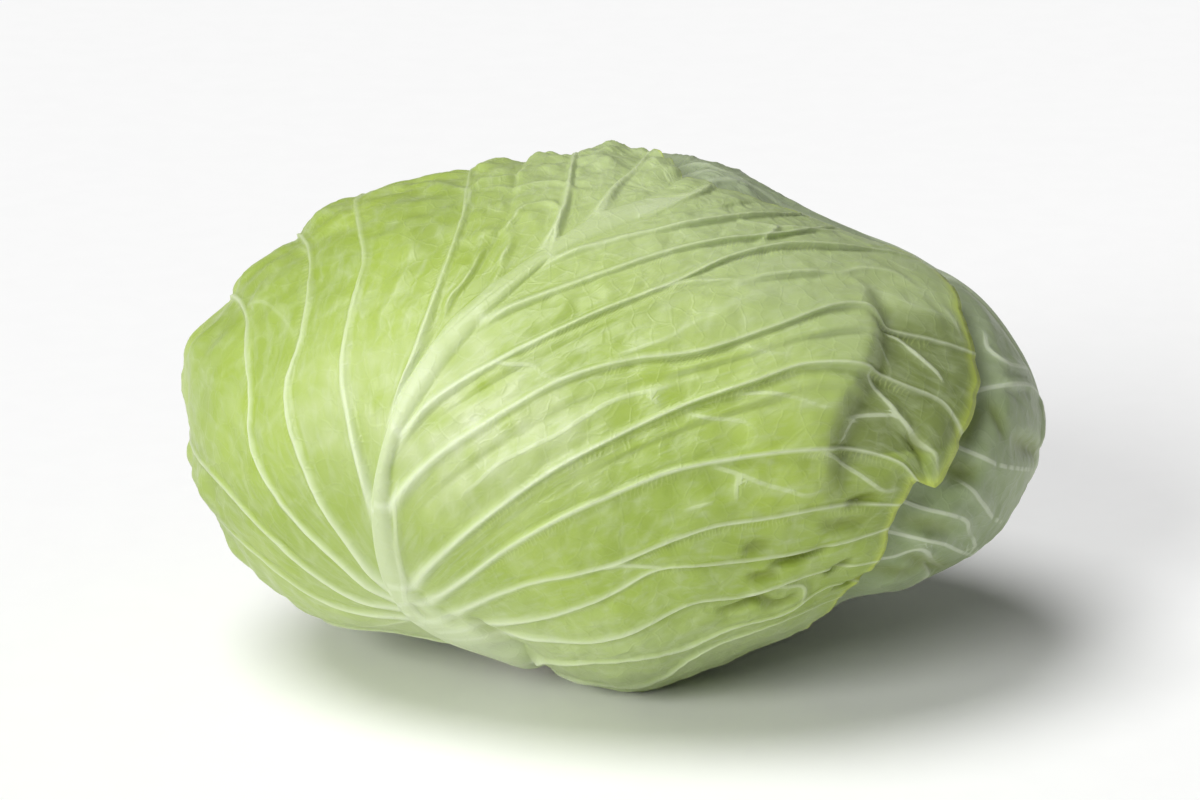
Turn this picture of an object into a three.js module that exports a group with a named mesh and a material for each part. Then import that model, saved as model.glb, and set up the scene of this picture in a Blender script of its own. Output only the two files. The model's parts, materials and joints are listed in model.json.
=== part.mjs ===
import * as THREE from 'three';

// A flat white cabbage, cut from its root and resting on its base. Millimetres, +Z up.
// The head is a stack of leaves round a packed heart. Every point of every leaf lies on a ray
// from the head's middle, so a leaf is a height field over directions and the layers nest.

// Driving dimensions
const PIXELS_PER_MM = 3;
const HALF_LENGTH = 139;
const HALF_HEIGHT = 87;
const HALF_DEPTH = 106;
const CENTRE_HEIGHT = 83;
const VIEW_TILT = THREE.MathUtils.degToRad(18);
const VIEW_DISTANCE = 1450;
const CENTRE_PX = [617, 422];
const PICTURE_MIDDLE_PX = [600, 400];
const RAY_PASSES = 12;
const HEAD_OFFSET = [0.5, -0.2];

// Leaf build-up
const BLADE = 1.2;
const LAYER_STEP = 4.5;
const COVERED_RELIEF = 0.4;
const MARGIN_SHELF = 9;
const MARGIN_RAMP = 30;
const HEART_CLEARANCE = 2.5;
const HEART_REACH = 0.2;
const RIB_HALF_WIDTH = 2.2;
const RIB_START = 0.35;
const RIB_TAPER = 0.8;
const MIDRIB_LEAST = 0.6;
const MIDRIB_TAPER = 1.3;
const SWELL_ROWS = [0.15, 0.9];
const WAVE_ROWS = [0.75, 1];
const FLOOR_SHARE = 0.8;
const WIDE_GAP = 23;

// Stem stub
const STEM_AXIS = new THREE.Vector3(-25, 2, -79).normalize();
const STEM_CONE = THREE.MathUtils.degToRad(15);
const STEM_CLEARANCE = 0.9;
const STEM_TOP = 58.5;
const STEM_END = 79;
const DIMPLE_DEPTH = 11;
const DIMPLE_RADIUS = 16;

// View axes: the picture's right and up, and the way the camera looks
const RIGHT = new THREE.Vector3(1, 0, 0);
const AWAY = new THREE.Vector3(0, Math.cos(VIEW_TILT), -Math.sin(VIEW_TILT));
const UP = new THREE.Vector3(0, Math.sin(VIEW_TILT), Math.cos(VIEW_TILT));

// Outline of the head in the photograph, clockwise from the left end, in pixels
const OUTLINE_PX = [
  [195, 405], [199, 352], [224, 315], [257, 275], [303, 239], [350, 205], [417, 189], [480, 173],
  [540, 165], [607, 157], [670, 159], [734, 175], [791, 206], [857, 235], [918, 261], [973, 296],
  [1014, 348], [1031, 382], [1040, 420], [1034, 458], [1016, 501], [986, 540], [938, 570],
  [896, 587], [843, 596], [802, 620], [748, 642], [690, 668], [632, 688], [577, 677], [529, 658],
  [490, 645], [440, 637], [398, 629], [332, 618], [285, 590], [240, 544], [212, 499], [198, 446],
];

function outlineTable() {
  const points = OUTLINE_PX.map(([px, py]) => {
    const x = (px - CENTRE_PX[0]) / PIXELS_PER_MM;
    const z = (CENTRE_PX[1] - py) / PIXELS_PER_MM;
    return { angle: Math.atan2(z, x), radius: Math.hypot(x, z) };
  });
  return points.sort((a, b) => a.angle - b.angle);
}

const OUTLINE = outlineTable();

// Radius of the outline at an angle in the view plane, a periodic cubic through its points
function outlineRadius(angle) {
  const count = OUTLINE.length;
  let next = OUTLINE.findIndex((point) => point.angle > angle);
  if (next < 0) next = 0;
  const at = (index) => {
    const turn = Math.floor(index / count);
    const point = OUTLINE[index - turn * count];
    return { angle: point.angle + turn * 2 * Math.PI, radius: point.radius };
  };
  const first = next === 0 && angle > OUTLINE[0].angle ? count : next;
  const [a, b, c, d] = [first - 2, first - 1, first, first + 1].map(at);
  const span = c.angle - b.angle;
  const u = (angle - b.angle) / span;
  const slopeB = ((c.radius - a.radius) / (c.angle - a.angle)) * span;
  const slopeC = ((d.radius - b.radius) / (d.angle - b.angle)) * span;
  return (2 * u ** 3 - 3 * u ** 2 + 1) * b.radius + (u ** 3 - 2 * u ** 2 + u) * slopeB
    + (-2 * u ** 3 + 3 * u ** 2) * c.radius + (u ** 3 - u ** 2) * slopeC;
}

// Distance from the head's middle down to the surface it rests on, along a direction
function floorReach(direction) {
  return direction.z < 0 ? CENTRE_HEIGHT / -direction.z : Infinity;
}

// Radius of the head's smooth outer form: a flattened ellipsoid that takes the photograph's
// outline as it nears the view plane, with a hollow round the stem
function freeRadius(direction) {
  const x = direction.dot(RIGHT);
  const y = direction.dot(AWAY);
  const z = direction.dot(UP);
  const inPlane = x * x + z * z;
  const angle = Math.atan2(z, x);
  const oval = 1 / Math.hypot(Math.cos(angle) / HALF_LENGTH, Math.sin(angle) / HALF_HEIGHT);
  const rim = oval + (outlineRadius(angle) - oval) * inPlane ** 2;
  const radius = 1 / Math.sqrt(inPlane / rim ** 2 + (y / HALF_DEPTH) ** 2);
  const fromStem = radius * direction.angleTo(STEM_AXIS);
  return radius - DIMPLE_DEPTH * Math.exp(-((fromStem / DIMPLE_RADIUS) ** 2) / 2);
}

// The same form with the flat spot that the head rests on
function headRadius(direction) {
  return Math.min(freeRadius(direction), floorReach(direction));
}

// Direction from the head's middle to what a pixel of the photograph shows
function seen([px, py]) {
  const target = RIGHT.clone().multiplyScalar((px - CENTRE_PX[0]) / PIXELS_PER_MM)
    .addScaledVector(UP, (CENTRE_PX[1] - py) / PIXELS_PER_MM);
  const eye = RIGHT.clone().multiplyScalar((PICTURE_MIDDLE_PX[0] - CENTRE_PX[0]) / PIXELS_PER_MM)
    .addScaledVector(UP, (CENTRE_PX[1] - PICTURE_MIDDLE_PX[1]) / PIXELS_PER_MM)
    .addScaledVector(AWAY, -VIEW_DISTANCE);
  const ray = target.clone().sub(eye).normalize();
  const nearest = -eye.dot(ray);
  let hit = target;
  for (let pass = 0; pass < RAY_PASSES; pass += 1) {
    const radius = headRadius(hit.clone().normalize());
    const inside = radius ** 2 - eye.lengthSq() + nearest ** 2;
    hit = eye.clone().addScaledVector(ray, nearest - Math.sqrt(Math.max(inside, 0)));
  }
  return hit.normalize();
}

// Direction past the photograph's outline: an angle round the picture, and degrees behind it
function behind(around, beyond) {
  const a = THREE.MathUtils.degToRad(around);
  const b = THREE.MathUtils.degToRad(beyond);
  return RIGHT.clone().multiplyScalar(Math.cos(b) * Math.cos(a))
    .addScaledVector(UP, Math.cos(b) * Math.sin(a))
    .addScaledVector(AWAY, Math.sin(b));
}

// Axes round the stem: azimuth 0 faces the camera, and 90 the picture's right
const FRONTWARD = new THREE.Vector3(0, -1, 0).projectOnPlane(STEM_AXIS).normalize();
const RIGHTWARD = new THREE.Vector3().crossVectors(FRONTWARD, STEM_AXIS).normalize();

function roundStem(azimuth, away) {
  const a = THREE.MathUtils.degToRad(azimuth);
  const b = THREE.MathUtils.degToRad(away);
  return STEM_AXIS.clone().multiplyScalar(Math.cos(b))
    .addScaledVector(FRONTWARD, Math.sin(b) * Math.cos(a))
    .addScaledVector(RIGHTWARD, Math.sin(b) * Math.sin(a));
}

// The edge of a leaf's base, round the stem's cone from one azimuth to another
function roundBase(from, to) {
  const steps = Math.max(2, Math.round(Math.abs(to - from) / 14));
  const cone = THREE.MathUtils.radToDeg(STEM_CONE);
  return Array.from({ length: steps + 1 }, (_, i) => roundStem(from + ((to - from) * i) / steps, cone));
}

// A smooth line through directions, as evenly spaced directions
function lineThrough(directions, steps) {
  const curve = new THREE.CatmullRomCurve3(directions, false, 'centripetal');
  curve.arcLengthDivisions = 400;
  return curve.getSpacedPoints(steps).map((point) => point.normalize());
}

function smooth(low, high, value) {
  return THREE.MathUtils.smoothstep(value, low, high);
}

// One leaf: a midrib, and on each side of it lines that run from the midrib's edge to the
// margin, from the base edge to the line that both sides share at the tip. A line carries a rib
// unless it only shapes the blade.
class Leaf {
  constructor({ name, midrib, sides, tip, rows, gapColumns, look }) {
    this.name = name;
    this.rows = rows;
    this.gapColumns = gapColumns;
    this.look = look;
    this.directions = [];
    this.surface = [];
    this.triangles = [];
    const tipLine = { points: lineThrough(tip, rows), rib: 1 };
    this.tipColumn = this.addColumn(tipLine.points, () => ({ rib: 0.5, across: 0, line: 1, side: 0 }));
    this.halves = sides.map((lines, index) => this.addHalf(lines, tipLine, index === 0 ? 1 : -1));
    this.addMidrib(lineThrough([...midrib, tip[0]], look.midribSteps));
    this.boundary = this.boundaryLoop();
    this.middle = this.directions.reduce((sum, direction) => sum.add(direction), new THREE.Vector3())
      .normalize();
    this.prepareOutline();
  }

  addVertex(direction, place) {
    this.directions.push(direction);
    this.surface.push(place);
    return this.directions.length - 1;
  }

  addColumn(points, place) {
    return points.map((point, step) => {
      const row = step / this.rows;
      return this.addVertex(point, { ...place(row), row });
    });
  }

  // Columns of one half, from the base edge to the shared tip line
  addHalf(lines, tipLine, side) {
    const drawn = lines.map((line) => ({ ...line, points: lineThrough(line.through, this.rows) }));
    drawn.push({ points: tipLine.points, rib: 1 });
    const columns = [];
    for (let i = 0; i < drawn.length - 1; i += 1) {
      const [lower, upper] = [drawn[i], drawn[i + 1]];
      const along = i / (drawn.length - 1);
      columns.push(this.addColumn(lower.points, () => ({ rib: lower.rib, across: 0, line: along, side })));
      const inGap = this.columnsInGap(lower.points, upper.points);
      for (let step = 1; step <= inGap; step += 1) {
        const points = lower.points.map((point, row) => {
          const share = this.gapShare(point, upper.points[row], step, inGap);
          return point.clone().lerp(upper.points[row], share).normalize();
        });
        const share = step / (inGap + 1);
        const across = inGap === 1 ? 0.5 : (step - 1) / (inGap - 1);
        columns.push(this.addColumn(points, () => (
          { rib: 0, across, line: along + share / (drawn.length - 1), side })));
      }
    }
    columns.push(this.tipColumn);
    for (let i = 0; i < columns.length - 1; i += 1) {
      for (let row = 0; row < this.rows; row += 1) {
        const quad = [columns[i][row], columns[i + 1][row], columns[i + 1][row + 1], columns[i][row + 1]];
        this.addQuad(side > 0 ? quad.reverse() : quad);
      }
    }
    return columns;
  }

  // Columns between two lines: more where they run wide apart, so that the blade stays round
  columnsInGap(lower, upper) {
    const widest = Math.max(...lower.map((point, row) => point.angleTo(upper[row]) * headRadius(point)));
    return this.gapColumns + Math.floor(widest / WIDE_GAP);
  }

  // Share of the gap between two ribs at which a column stands, a rib's half width from each
  gapShare(lower, upper, step, inGap) {
    if (this.gapColumns === 1) return step / (inGap + 1);
    const gap = lower.angleTo(upper) * headRadius(lower);
    const toe = Math.min(RIB_HALF_WIDTH / gap, 0.3);
    return toe + ((1 - 2 * toe) * (step - 1)) / (inGap - 1);
  }

  addQuad([a, b, c, d]) {
    this.triangles.push([a, b, c], [a, c, d]);
  }

  // The midrib's crest, with a strip of triangles down to each half's first row
  addMidrib(crestPoints) {
    const last = crestPoints.length - 1;
    this.crest = crestPoints.slice(0, last).map((point, step) => this.addVertex(point, {
      rib: 0, across: 0, line: step / last, side: 0, row: 0, crest: 1 - step / last,
    }));
    this.crest.push(this.tipColumn[0]);
    this.halves.forEach((columns, index) => {
      const edge = columns.map((column) => column[0]);
      this.zip(this.crest, edge, index === 1);
    });
  }

  // Triangles between two lines of vertices that share their last one
  zip(crest, edge, forward) {
    let i = 0;
    let j = 0;
    const add = (a, b, c) => this.triangles.push(forward ? [a, b, c] : [c, b, a]);
    while (i < crest.length - 2 || j < edge.length - 2) {
      const nextCrest = this.directions[crest[Math.min(i + 1, crest.length - 2)]];
      const nextEdge = this.directions[edge[Math.min(j + 1, edge.length - 2)]];
      const viaCrest = nextCrest.distanceTo(this.directions[edge[j]]);
      const viaEdge = nextEdge.distanceTo(this.directions[crest[i]]);
      const takeCrest = j >= edge.length - 2 || (i < crest.length - 2 && viaCrest < viaEdge);
      if (takeCrest) {
        add(crest[i], crest[i + 1], edge[j]);
        i += 1;
      } else {
        add(crest[i], edge[j + 1], edge[j]);
        j += 1;
      }
    }
    add(crest[i], crest[i + 1], edge[j]);
  }

  // Vertices round the leaf's rim, in order: the edges that only one triangle has
  boundaryLoop() {
    const open = new Map();
    const seenEdges = new Set(this.triangles.flatMap(([a, b, c]) => [`${a},${b}`, `${b},${c}`, `${c},${a}`]));
    seenEdges.forEach((key) => {
      const [from, to] = key.split(',').map(Number);
      if (!seenEdges.has(`${to},${from}`)) open.set(from, to);
    });
    const start = open.keys().next().value;
    const loop = [start];
    while (open.get(loop[loop.length - 1]) !== start) loop.push(open.get(loop[loop.length - 1]));
    return loop;
  }

  // The rim in a flat map round the leaf's middle, to tell what lies under the leaf
  prepareOutline() {
    this.mapX = new THREE.Vector3(0.31, 0.17, 0.94).cross(this.middle).normalize();
    this.mapY = new THREE.Vector3().crossVectors(this.middle, this.mapX);
    const rim = this.boundary.map((id) => this.directions[id]);
    this.rimMap = rim.map((direction) => this.toMap(direction));
    this.rimDense = rim.flatMap((direction, i) => {
      const next = rim[(i + 1) % rim.length];
      return [0, 0.25, 0.5, 0.75].map((share) => direction.clone().lerp(next, share).normalize());
    });
  }

  toMap(direction) {
    const angle = direction.angleTo(this.middle);
    const x = direction.dot(this.mapX);
    const y = direction.dot(this.mapY);
    const scale = angle / Math.max(Math.hypot(x, y), 1e-9);
    return [x * scale, y * scale];
  }

  // 1 under this leaf, falling to 0 over a ramp past its margin
  cover(direction) {
    const [x, y] = this.toMap(direction);
    let inside = false;
    this.rimMap.forEach(([x1, y1], i) => {
      const [x2, y2] = this.rimMap[(i + 1) % this.rimMap.length];
      if ((y1 > y) !== (y2 > y) && x < ((x2 - x1) * (y - y1)) / (y2 - y1) + x1) inside = !inside;
    });
    if (inside) return 1;
    const closest = Math.max(...this.rimDense.map((rim) => rim.dot(direction)));
    return 1 - smooth(MARGIN_SHELF, MARGIN_RAMP, Math.acos(Math.min(closest, 1)) * headRadius(direction));
  }

  // Height of the ribs over the blade, and of the blade's own swells, in millimetres
  relief(place) {
    const { rib, across, line, side, row, crest } = place;
    const look = this.look;
    if (crest !== undefined) {
      return { ribs: MIDRIB_LEAST + look.midribHeight * crest ** MIDRIB_TAPER, swell: 0 };
    }
    const start = row === 0 ? RIB_START : 1;
    const ribs = rib * start * (look.ribHeight * (1 - row) ** RIB_TAPER + look.ribHeightAtMargin);
    const step = look.swell * smooth(...SWELL_ROWS, row) * (side > 0 ? 1 : look.leftSwell);
    const terrace = rib > 0 || across === 0 ? 1 : 1 - across;
    const wave = look.wave * smooth(...WAVE_ROWS, row) * (0.5 + 0.5 * Math.sin(line * look.waves + side));
    return { ribs, swell: step * terrace + wave };
  }

  // The leaf's solid, under the leaves that lie over it
  solid(leavesOver) {
    const count = this.directions.length;
    const outer = [];
    const inner = [];
    this.directions.forEach((direction, id) => {
      const covers = leavesOver.map((leaf) => leaf.cover(direction));
      const depth = LAYER_STEP * covers.reduce((sum, cover) => sum + cover, 0);
      const hidden = Math.max(0, ...covers);
      const base = headRadius(direction) - depth;
      const { ribs, swell } = this.relief(this.surface[id]);
      const free = Math.max(0, floorReach(direction) - base) * FLOOR_SHARE;
      const lift = Math.min(swell * (1 - hidden), free);
      const rib = Math.min(ribs + (Math.min(ribs, COVERED_RELIEF) - ribs) * hidden, free - lift);
      outer.push(direction.clone().multiplyScalar(base + lift + rib));
      inner.push(direction.clone().multiplyScalar(base + lift - BLADE));
    });
    const faces = [
      ...this.triangles,
      ...this.triangles.map(([a, b, c]) => [c + count, b + count, a + count]),
    ];
    this.boundary.forEach((a, i) => {
      const b = this.boundary[(i + 1) % this.boundary.length];
      faces.push([b, a, a + count], [b, a + count, b + count]);
    });
    return solidGeometry([...outer, ...inner], faces);
  }
}

function solidGeometry(points, faces) {
  const geometry = new THREE.BufferGeometry();
  const placed = points.flatMap((point) => [
    point.x + HEAD_OFFSET[0], point.y + HEAD_OFFSET[1], point.z + CENTRE_HEIGHT,
  ]);
  geometry.setAttribute('position', new THREE.Float32BufferAttribute(placed, 3));
  geometry.setIndex(faces.flat());
  geometry.computeVertexNormals();
  return geometry;
}

// The outermost leaf, from the photograph. Its foot turns under the head at the lower left, and
// it covers nearly all that the camera sees.
const FOOT_AZIMUTH = -12;

function frontLeaf() {
  const cone = THREE.MathUtils.radToDeg(STEM_CONE);
  const midrib = [
    roundStem(FOOT_AZIMUTH, cone), roundStem(FOOT_AZIMUTH - 4, cone + 15),
    ...[[456, 632], [420, 611], [399, 590], [386, 560], [380, 523], [380, 490], [387, 455], [403, 405],
      [434, 352], [482, 306], [534, 266], [579, 233], [629, 211], [664, 203]].map(seen),
  ];
  const tip = [[684, 199], [699, 194], [713, 188]].map(seen);
  const ribbed = (pixels, hidden = [], start = []) => (
    { rib: 1, through: [...start, ...pixels.map(seen), ...hidden] });
  const plain = (pixels, hidden = [], start = []) => ({ ...ribbed(pixels, hidden, start), rib: 0 });
  const right = [
    { rib: 0, through: [...roundBase(FOOT_AZIMUTH + 16, FOOT_AZIMUTH + 62), roundStem(58, 22),
      roundStem(66, 36), roundStem(70, 54)] },
    ribbed([[655, 676], [699, 647], [753, 626], [802, 608], [838, 594]], [],
      [roundStem(FOOT_AZIMUTH + 13, cone + 7), roundStem(14, 34)]),
    ribbed([[577, 660], [629, 657], [680, 645], [731, 624], [781, 608], [824, 585], [858, 581]], [],
      [roundStem(FOOT_AZIMUTH + 5, cone + 20), roundStem(-3, 44)]),
    ribbed([[506, 633], [551, 638], [600, 638], [645, 623], [692, 600], [739, 593], [790, 576],
      [835, 566], [877, 560]]),
    ribbed([[484, 624], [520, 619], [567, 609], [614, 590], [655, 567], [711, 560], [756, 556],
      [802, 550], [848, 538], [886, 527]]),
    ribbed([[453, 615], [475, 603], [522, 584], [576, 572], [614, 562], [669, 538], [711, 523],
      [762, 515], [812, 506], [861, 503], [897, 504]]),
    ribbed([[430, 601], [463, 580], [504, 550], [555, 520], [609, 495], [669, 470], [734, 456],
      [798, 448], [861, 450], [897, 462], [914, 480]]),
    plain([[422, 594], [450, 567], [504, 525], [565, 483], [625, 451], [690, 423], [752, 402], [800, 389],
      [850, 389], [887, 408], [916, 444], [931, 487]]),
    ribbed([[413, 586], [441, 556], [487, 517], [551, 471], [612, 438], [680, 406], [748, 382],
      [798, 366], [861, 369], [907, 386], [942, 402], [960, 434]]),
    plain([[399, 550], [420, 512], [470, 467], [537, 424], [605, 392], [668, 374], [735, 357], [800, 338],
      [850, 332], [892, 339], [940, 371], [976, 389]]),
    ribbed([[391, 507], [435, 459], [494, 419], [563, 380], [629, 361], [696, 353], [764, 331],
      [829, 309], [858, 310], [889, 328], [935, 340], [975, 354]]),
    plain([[392, 468], [425, 430], [487, 388], [560, 348], [640, 310], [718, 284], [795, 275],
      [862, 272], [911, 287], [942, 302], [958, 311]]),
    ribbed([[403, 433], [438, 399], [520, 350], [595, 315], [666, 287], [734, 257], [785, 247],
      [840, 249], [885, 254], [918, 263]]),
    ribbed([[484, 320], [537, 299], [614, 271], [676, 251], [717, 243], [780, 236], [838, 229]]),
    ribbed([[552, 259], [614, 242], [678, 228], [720, 221], [770, 216], [806, 216]]),
    plain([[640, 218], [676, 213], [716, 207], [762, 202]]),
  ];
  const left = [
    { rib: 0, through: [...roundBase(FOOT_AZIMUTH - 16, FOOT_AZIMUTH - 76), roundStem(-102, 21),
      roundStem(-116, 30)] },
    ribbed([], [roundStem(-48, 37), roundStem(-70, 41), roundStem(-94, 42), roundStem(-119, 41)],
      [roundStem(FOOT_AZIMUTH - 17, cone + 15)]),
    ribbed([[411, 618], [363, 611], [311, 591], [263, 555], [226, 508]], [behind(190, 12),
      behind(190, 30)]),
    ribbed([[403, 609], [363, 600], [311, 568], [266, 528], [232, 484], [216, 445]], [behind(177, 10),
      behind(178, 34)]),
    ribbed([[397, 600], [337, 557], [287, 507], [256, 445], [254, 379], [252, 316]], [behind(162, 0),
      behind(166, 20), behind(168, 38)]),
    ribbed([[390, 588], [348, 539], [304, 460], [290, 393], [303, 342], [313, 290], [313, 250]],
      [behind(150, 8), behind(152, 24), behind(153, 38)]),
    ribbed([[373, 508], [363, 469], [351, 417], [345, 365], [355, 306], [367, 257]],
      [behind(138, 0), behind(138, 18), behind(137, 34)]),
    ribbed([[399, 399], [420, 345], [442, 281], [465, 219]], [behind(119, 0), behind(119, 14),
      behind(118, 28)]),
    plain([[450, 320], [484, 262], [508, 215]], [behind(109, 0), behind(110, 12), behind(110, 23)]),
    ribbed([[545, 248], [560, 222], [568, 196]], [behind(99, -2), behind(101, 8), behind(103, 18)]),
    ribbed([[599, 213], [617, 189], [634, 174]], [behind(83, -12)]),
    plain([[645, 199], [664, 190], [682, 180]]),
  ];
  return new Leaf({
    name: 'leaf_front', midrib, sides: [right, left], tip, rows: 14, gapColumns: 2,
    look: { midribSteps: 26, midribHeight: 4, ribHeight: 1.3, ribHeightAtMargin: 0.7, swell: 2.2,
      leftSwell: 0.5, wave: 1.6, waves: 26 },
  });
}

// A wrapping leaf's map, in degrees: how far its margin reaches towards the stem, where its veins
// leave the midrib and meet the margin, and how far from the midrib's middle they start
const LOWER_REACH = 84;
const FIRST_VEIN_Y = -64;
const LAST_VEIN_DROP = 18;
const VEIN_TURNS = [-34, 78];
const MIDRIB_SIDES = [3.2, 1.2];
const BEND_FROM = -72;
const BEND_SPAN = 160;

// A wrapping leaf, drawn in a flat map round its own middle, in degrees: x is to the side, y is
// from the stem, at -87, towards the crown, at 93
function wrappingLeaf({ name, azimuth, width, reach, bend, veins, rows, gapColumns, look }) {
  const middle = roundStem(azimuth, 87);
  const upward = STEM_AXIS.clone().negate().projectOnPlane(middle).normalize();
  const sideways = new THREE.Vector3().crossVectors(middle, upward).negate();
  const onMap = (x, y) => {
    const away = Math.hypot(x, y);
    const angle = THREE.MathUtils.degToRad(away);
    return middle.clone().multiplyScalar(Math.cos(angle))
      .addScaledVector(sideways, (Math.sin(angle) * x) / Math.max(away, 1e-9))
      .addScaledVector(upward, (Math.sin(angle) * y) / Math.max(away, 1e-9));
  };
  const ribX = (y) => bend * Math.sin(((y - BEND_FROM) / BEND_SPAN) * Math.PI);
  const margin = (turn) => {
    const side = Math.cos(THREE.MathUtils.degToRad(turn)) * width;
    const up = Math.sin(THREE.MathUtils.degToRad(turn));
    return [side, up < 0 ? up * LOWER_REACH : up * reach];
  };
  const half = (sign) => {
    const base = [...roundBase(azimuth + sign * 14, azimuth + sign * 56), roundStem(azimuth + sign * 70, 19),
      roundStem(azimuth + sign * 82, 28), roundStem(azimuth + sign * 90, 38)];
    const lines = [{ rib: 0, through: base }];
    for (let vein = 0; vein < veins; vein += 1) {
      const share = vein / (veins - 1);
      const startY = THREE.MathUtils.lerp(FIRST_VEIN_Y, reach - LAST_VEIN_DROP, share ** 1.35);
      const [endX, endY] = margin(THREE.MathUtils.lerp(...VEIN_TURNS, share ** 0.9));
      const start = [ribX(startY) + sign * THREE.MathUtils.lerp(...MIDRIB_SIDES, share), startY];
      const lean = endY - startY;
      const route = [[0.22, 0.34], [0.5, 0.66], [0.8, 0.92]].map(([x, y]) => (
        onMap(start[0] + (sign * endX - start[0]) * x, startY + lean * y)));
      lines.push({ rib: 1, through: [onMap(...start), ...route, onMap(sign * endX, endY)] });
    }
    return lines;
  };
  const midribYs = [-70, -50, -25, 0, 25, 50, reach - 22];
  return new Leaf({
    name, rows, gapColumns, look,
    midrib: [roundStem(azimuth, THREE.MathUtils.radToDeg(STEM_CONE)),
      ...midribYs.slice(1).map((y) => onMap(ribX(y), y))],
    sides: [half(1), half(-1)],
    tip: [reach - 12, reach - 6, reach].map((y) => onMap(ribX(y), y)),
  });
}

const WRAP_LOOK = {
  midribSteps: 16, midribHeight: 3.2, ribHeight: 1, ribHeightAtMargin: 0.5, swell: 1.4, leftSwell: 1,
  wave: 1.4, waves: 21,
};

// The other leaves, from the outside in, a golden angle apart round the stem
const WRAPPING_LEAVES = [
  { name: 'leaf_right', azimuth: 99, width: 86, reach: 92, bend: -6, veins: 6, rows: 11, gapColumns: 2 },
  { name: 'leaf_left', azimuth: 222, width: 84, reach: 88, bend: 7, veins: 6, rows: 9, gapColumns: 2 },
  { name: 'leaf_under_front', azimuth: 44, width: 80, reach: 96, bend: 5, veins: 4, rows: 7, gapColumns: 1 },
  { name: 'leaf_under_back', azimuth: 180, width: 80, reach: 104, bend: -5, veins: 4, rows: 7,
    gapColumns: 1 },
  { name: 'leaf_crown', azimuth: 312, width: 78, reach: 106, bend: 4, veins: 4, rows: 7, gapColumns: 1 },
];

// Most leaves that lie over a direction or near it, so that no flat facet cuts into one
function leavesNear(direction) {
  const sideways = new THREE.Vector3(0.3, 0.5, 0.8).cross(direction).normalize();
  const around = [0, 60, 120, 180, 240, 300].map((turn) => direction.clone().addScaledVector(
    sideways.clone().applyAxisAngle(direction, THREE.MathUtils.degToRad(turn)), HEART_REACH).normalize());
  const count = (at) => leaves.reduce((sum, leaf) => sum + leaf.cover(at), 0);
  return Math.max(...[direction, ...around].map(count));
}

// Packed inner leaves, as one body that fills the wrapping ones
function heart() {
  const ball = new THREE.IcosahedronGeometry(1, 4);
  const keys = new Map();
  const points = [];
  const faces = [];
  const position = ball.getAttribute('position');
  for (let i = 0; i < position.count; i += 1) {
    const direction = new THREE.Vector3().fromBufferAttribute(position, i).normalize();
    const key = direction.toArray().map((value) => value.toFixed(5)).join();
    if (!keys.has(key)) {
      keys.set(key, points.length);
      const depth = leavesNear(direction) * LAYER_STEP + HEART_CLEARANCE;
      const room = direction.angleTo(STEM_AXIS) < 2 * STEM_CONE ? STEM_TOP - HEART_CLEARANCE : Infinity;
      points.push(direction.multiplyScalar(Math.min(headRadius(direction) - depth, room)));
    }
    if (i % 3 === 0) faces.push([]);
    faces[faces.length - 1].push(keys.get(key));
  }
  return solidGeometry(points, faces);
}

// The cut stub of the stem, widening outwards like the ring of leaf bases round it
function stem() {
  const chamfer = 1;
  const waist = (STEM_TOP + STEM_END) / 2;
  const radius = (along) => along * Math.tan(STEM_CONE) - STEM_CLEARANCE;
  const cutRadius = radius(waist);
  const profile = [
    [0, STEM_TOP], [radius(STEM_TOP) - chamfer, STEM_TOP], [radius(STEM_TOP), STEM_TOP + chamfer],
    [cutRadius, waist], [cutRadius, STEM_END - chamfer], [cutRadius - chamfer, STEM_END],
    [0, STEM_END - chamfer / 2],
  ].map(([x, y]) => new THREE.Vector2(x, y));
  const turned = new THREE.LatheGeometry(profile, 18);
  const upright = new THREE.Quaternion().setFromUnitVectors(new THREE.Vector3(0, 1, 0), STEM_AXIS);
  turned.applyQuaternion(upright);
  turned.translate(HEAD_OFFSET[0], HEAD_OFFSET[1], CENTRE_HEIGHT);
  return turned;
}

function addPiece(group, name, geometry, colour, roughness) {
  const material = new THREE.MeshStandardMaterial({ color: colour, roughness, metalness: 0 });
  const mesh = new THREE.Mesh(geometry, material);
  mesh.name = name;
  group.add(mesh);
}

const group = new THREE.Group();
const leaves = [frontLeaf(), ...WRAPPING_LEAVES.map((leaf) => wrappingLeaf({ look: WRAP_LOOK, ...leaf }))];
leaves.forEach((leaf, index) => {
  addPiece(group, leaf.name, leaf.solid(leaves.slice(0, index)), index === 0 ? 0xb4c87a : 0x9aa877, 0.5);
});
addPiece(group, 'heart', heart(), 0xd8e0a8, 0.6);
addPiece(group, 'stem', stem(), 0xe6e3c6, 0.7);

export default group;
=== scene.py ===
"""A flat white cabbage head lying on its base, cut from its root.

The head is a stack of leaves round a packed heart. Each leaf is a fine sheet of directions from
the head's middle, raised along its ribs and veins, and replaces the leaf of the same name in the
solid model. Lengths in the formulas are millimetres, and meshes are in metres.
"""
import json
import logging
import math
from dataclasses import dataclass, field
from enum import Enum

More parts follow.
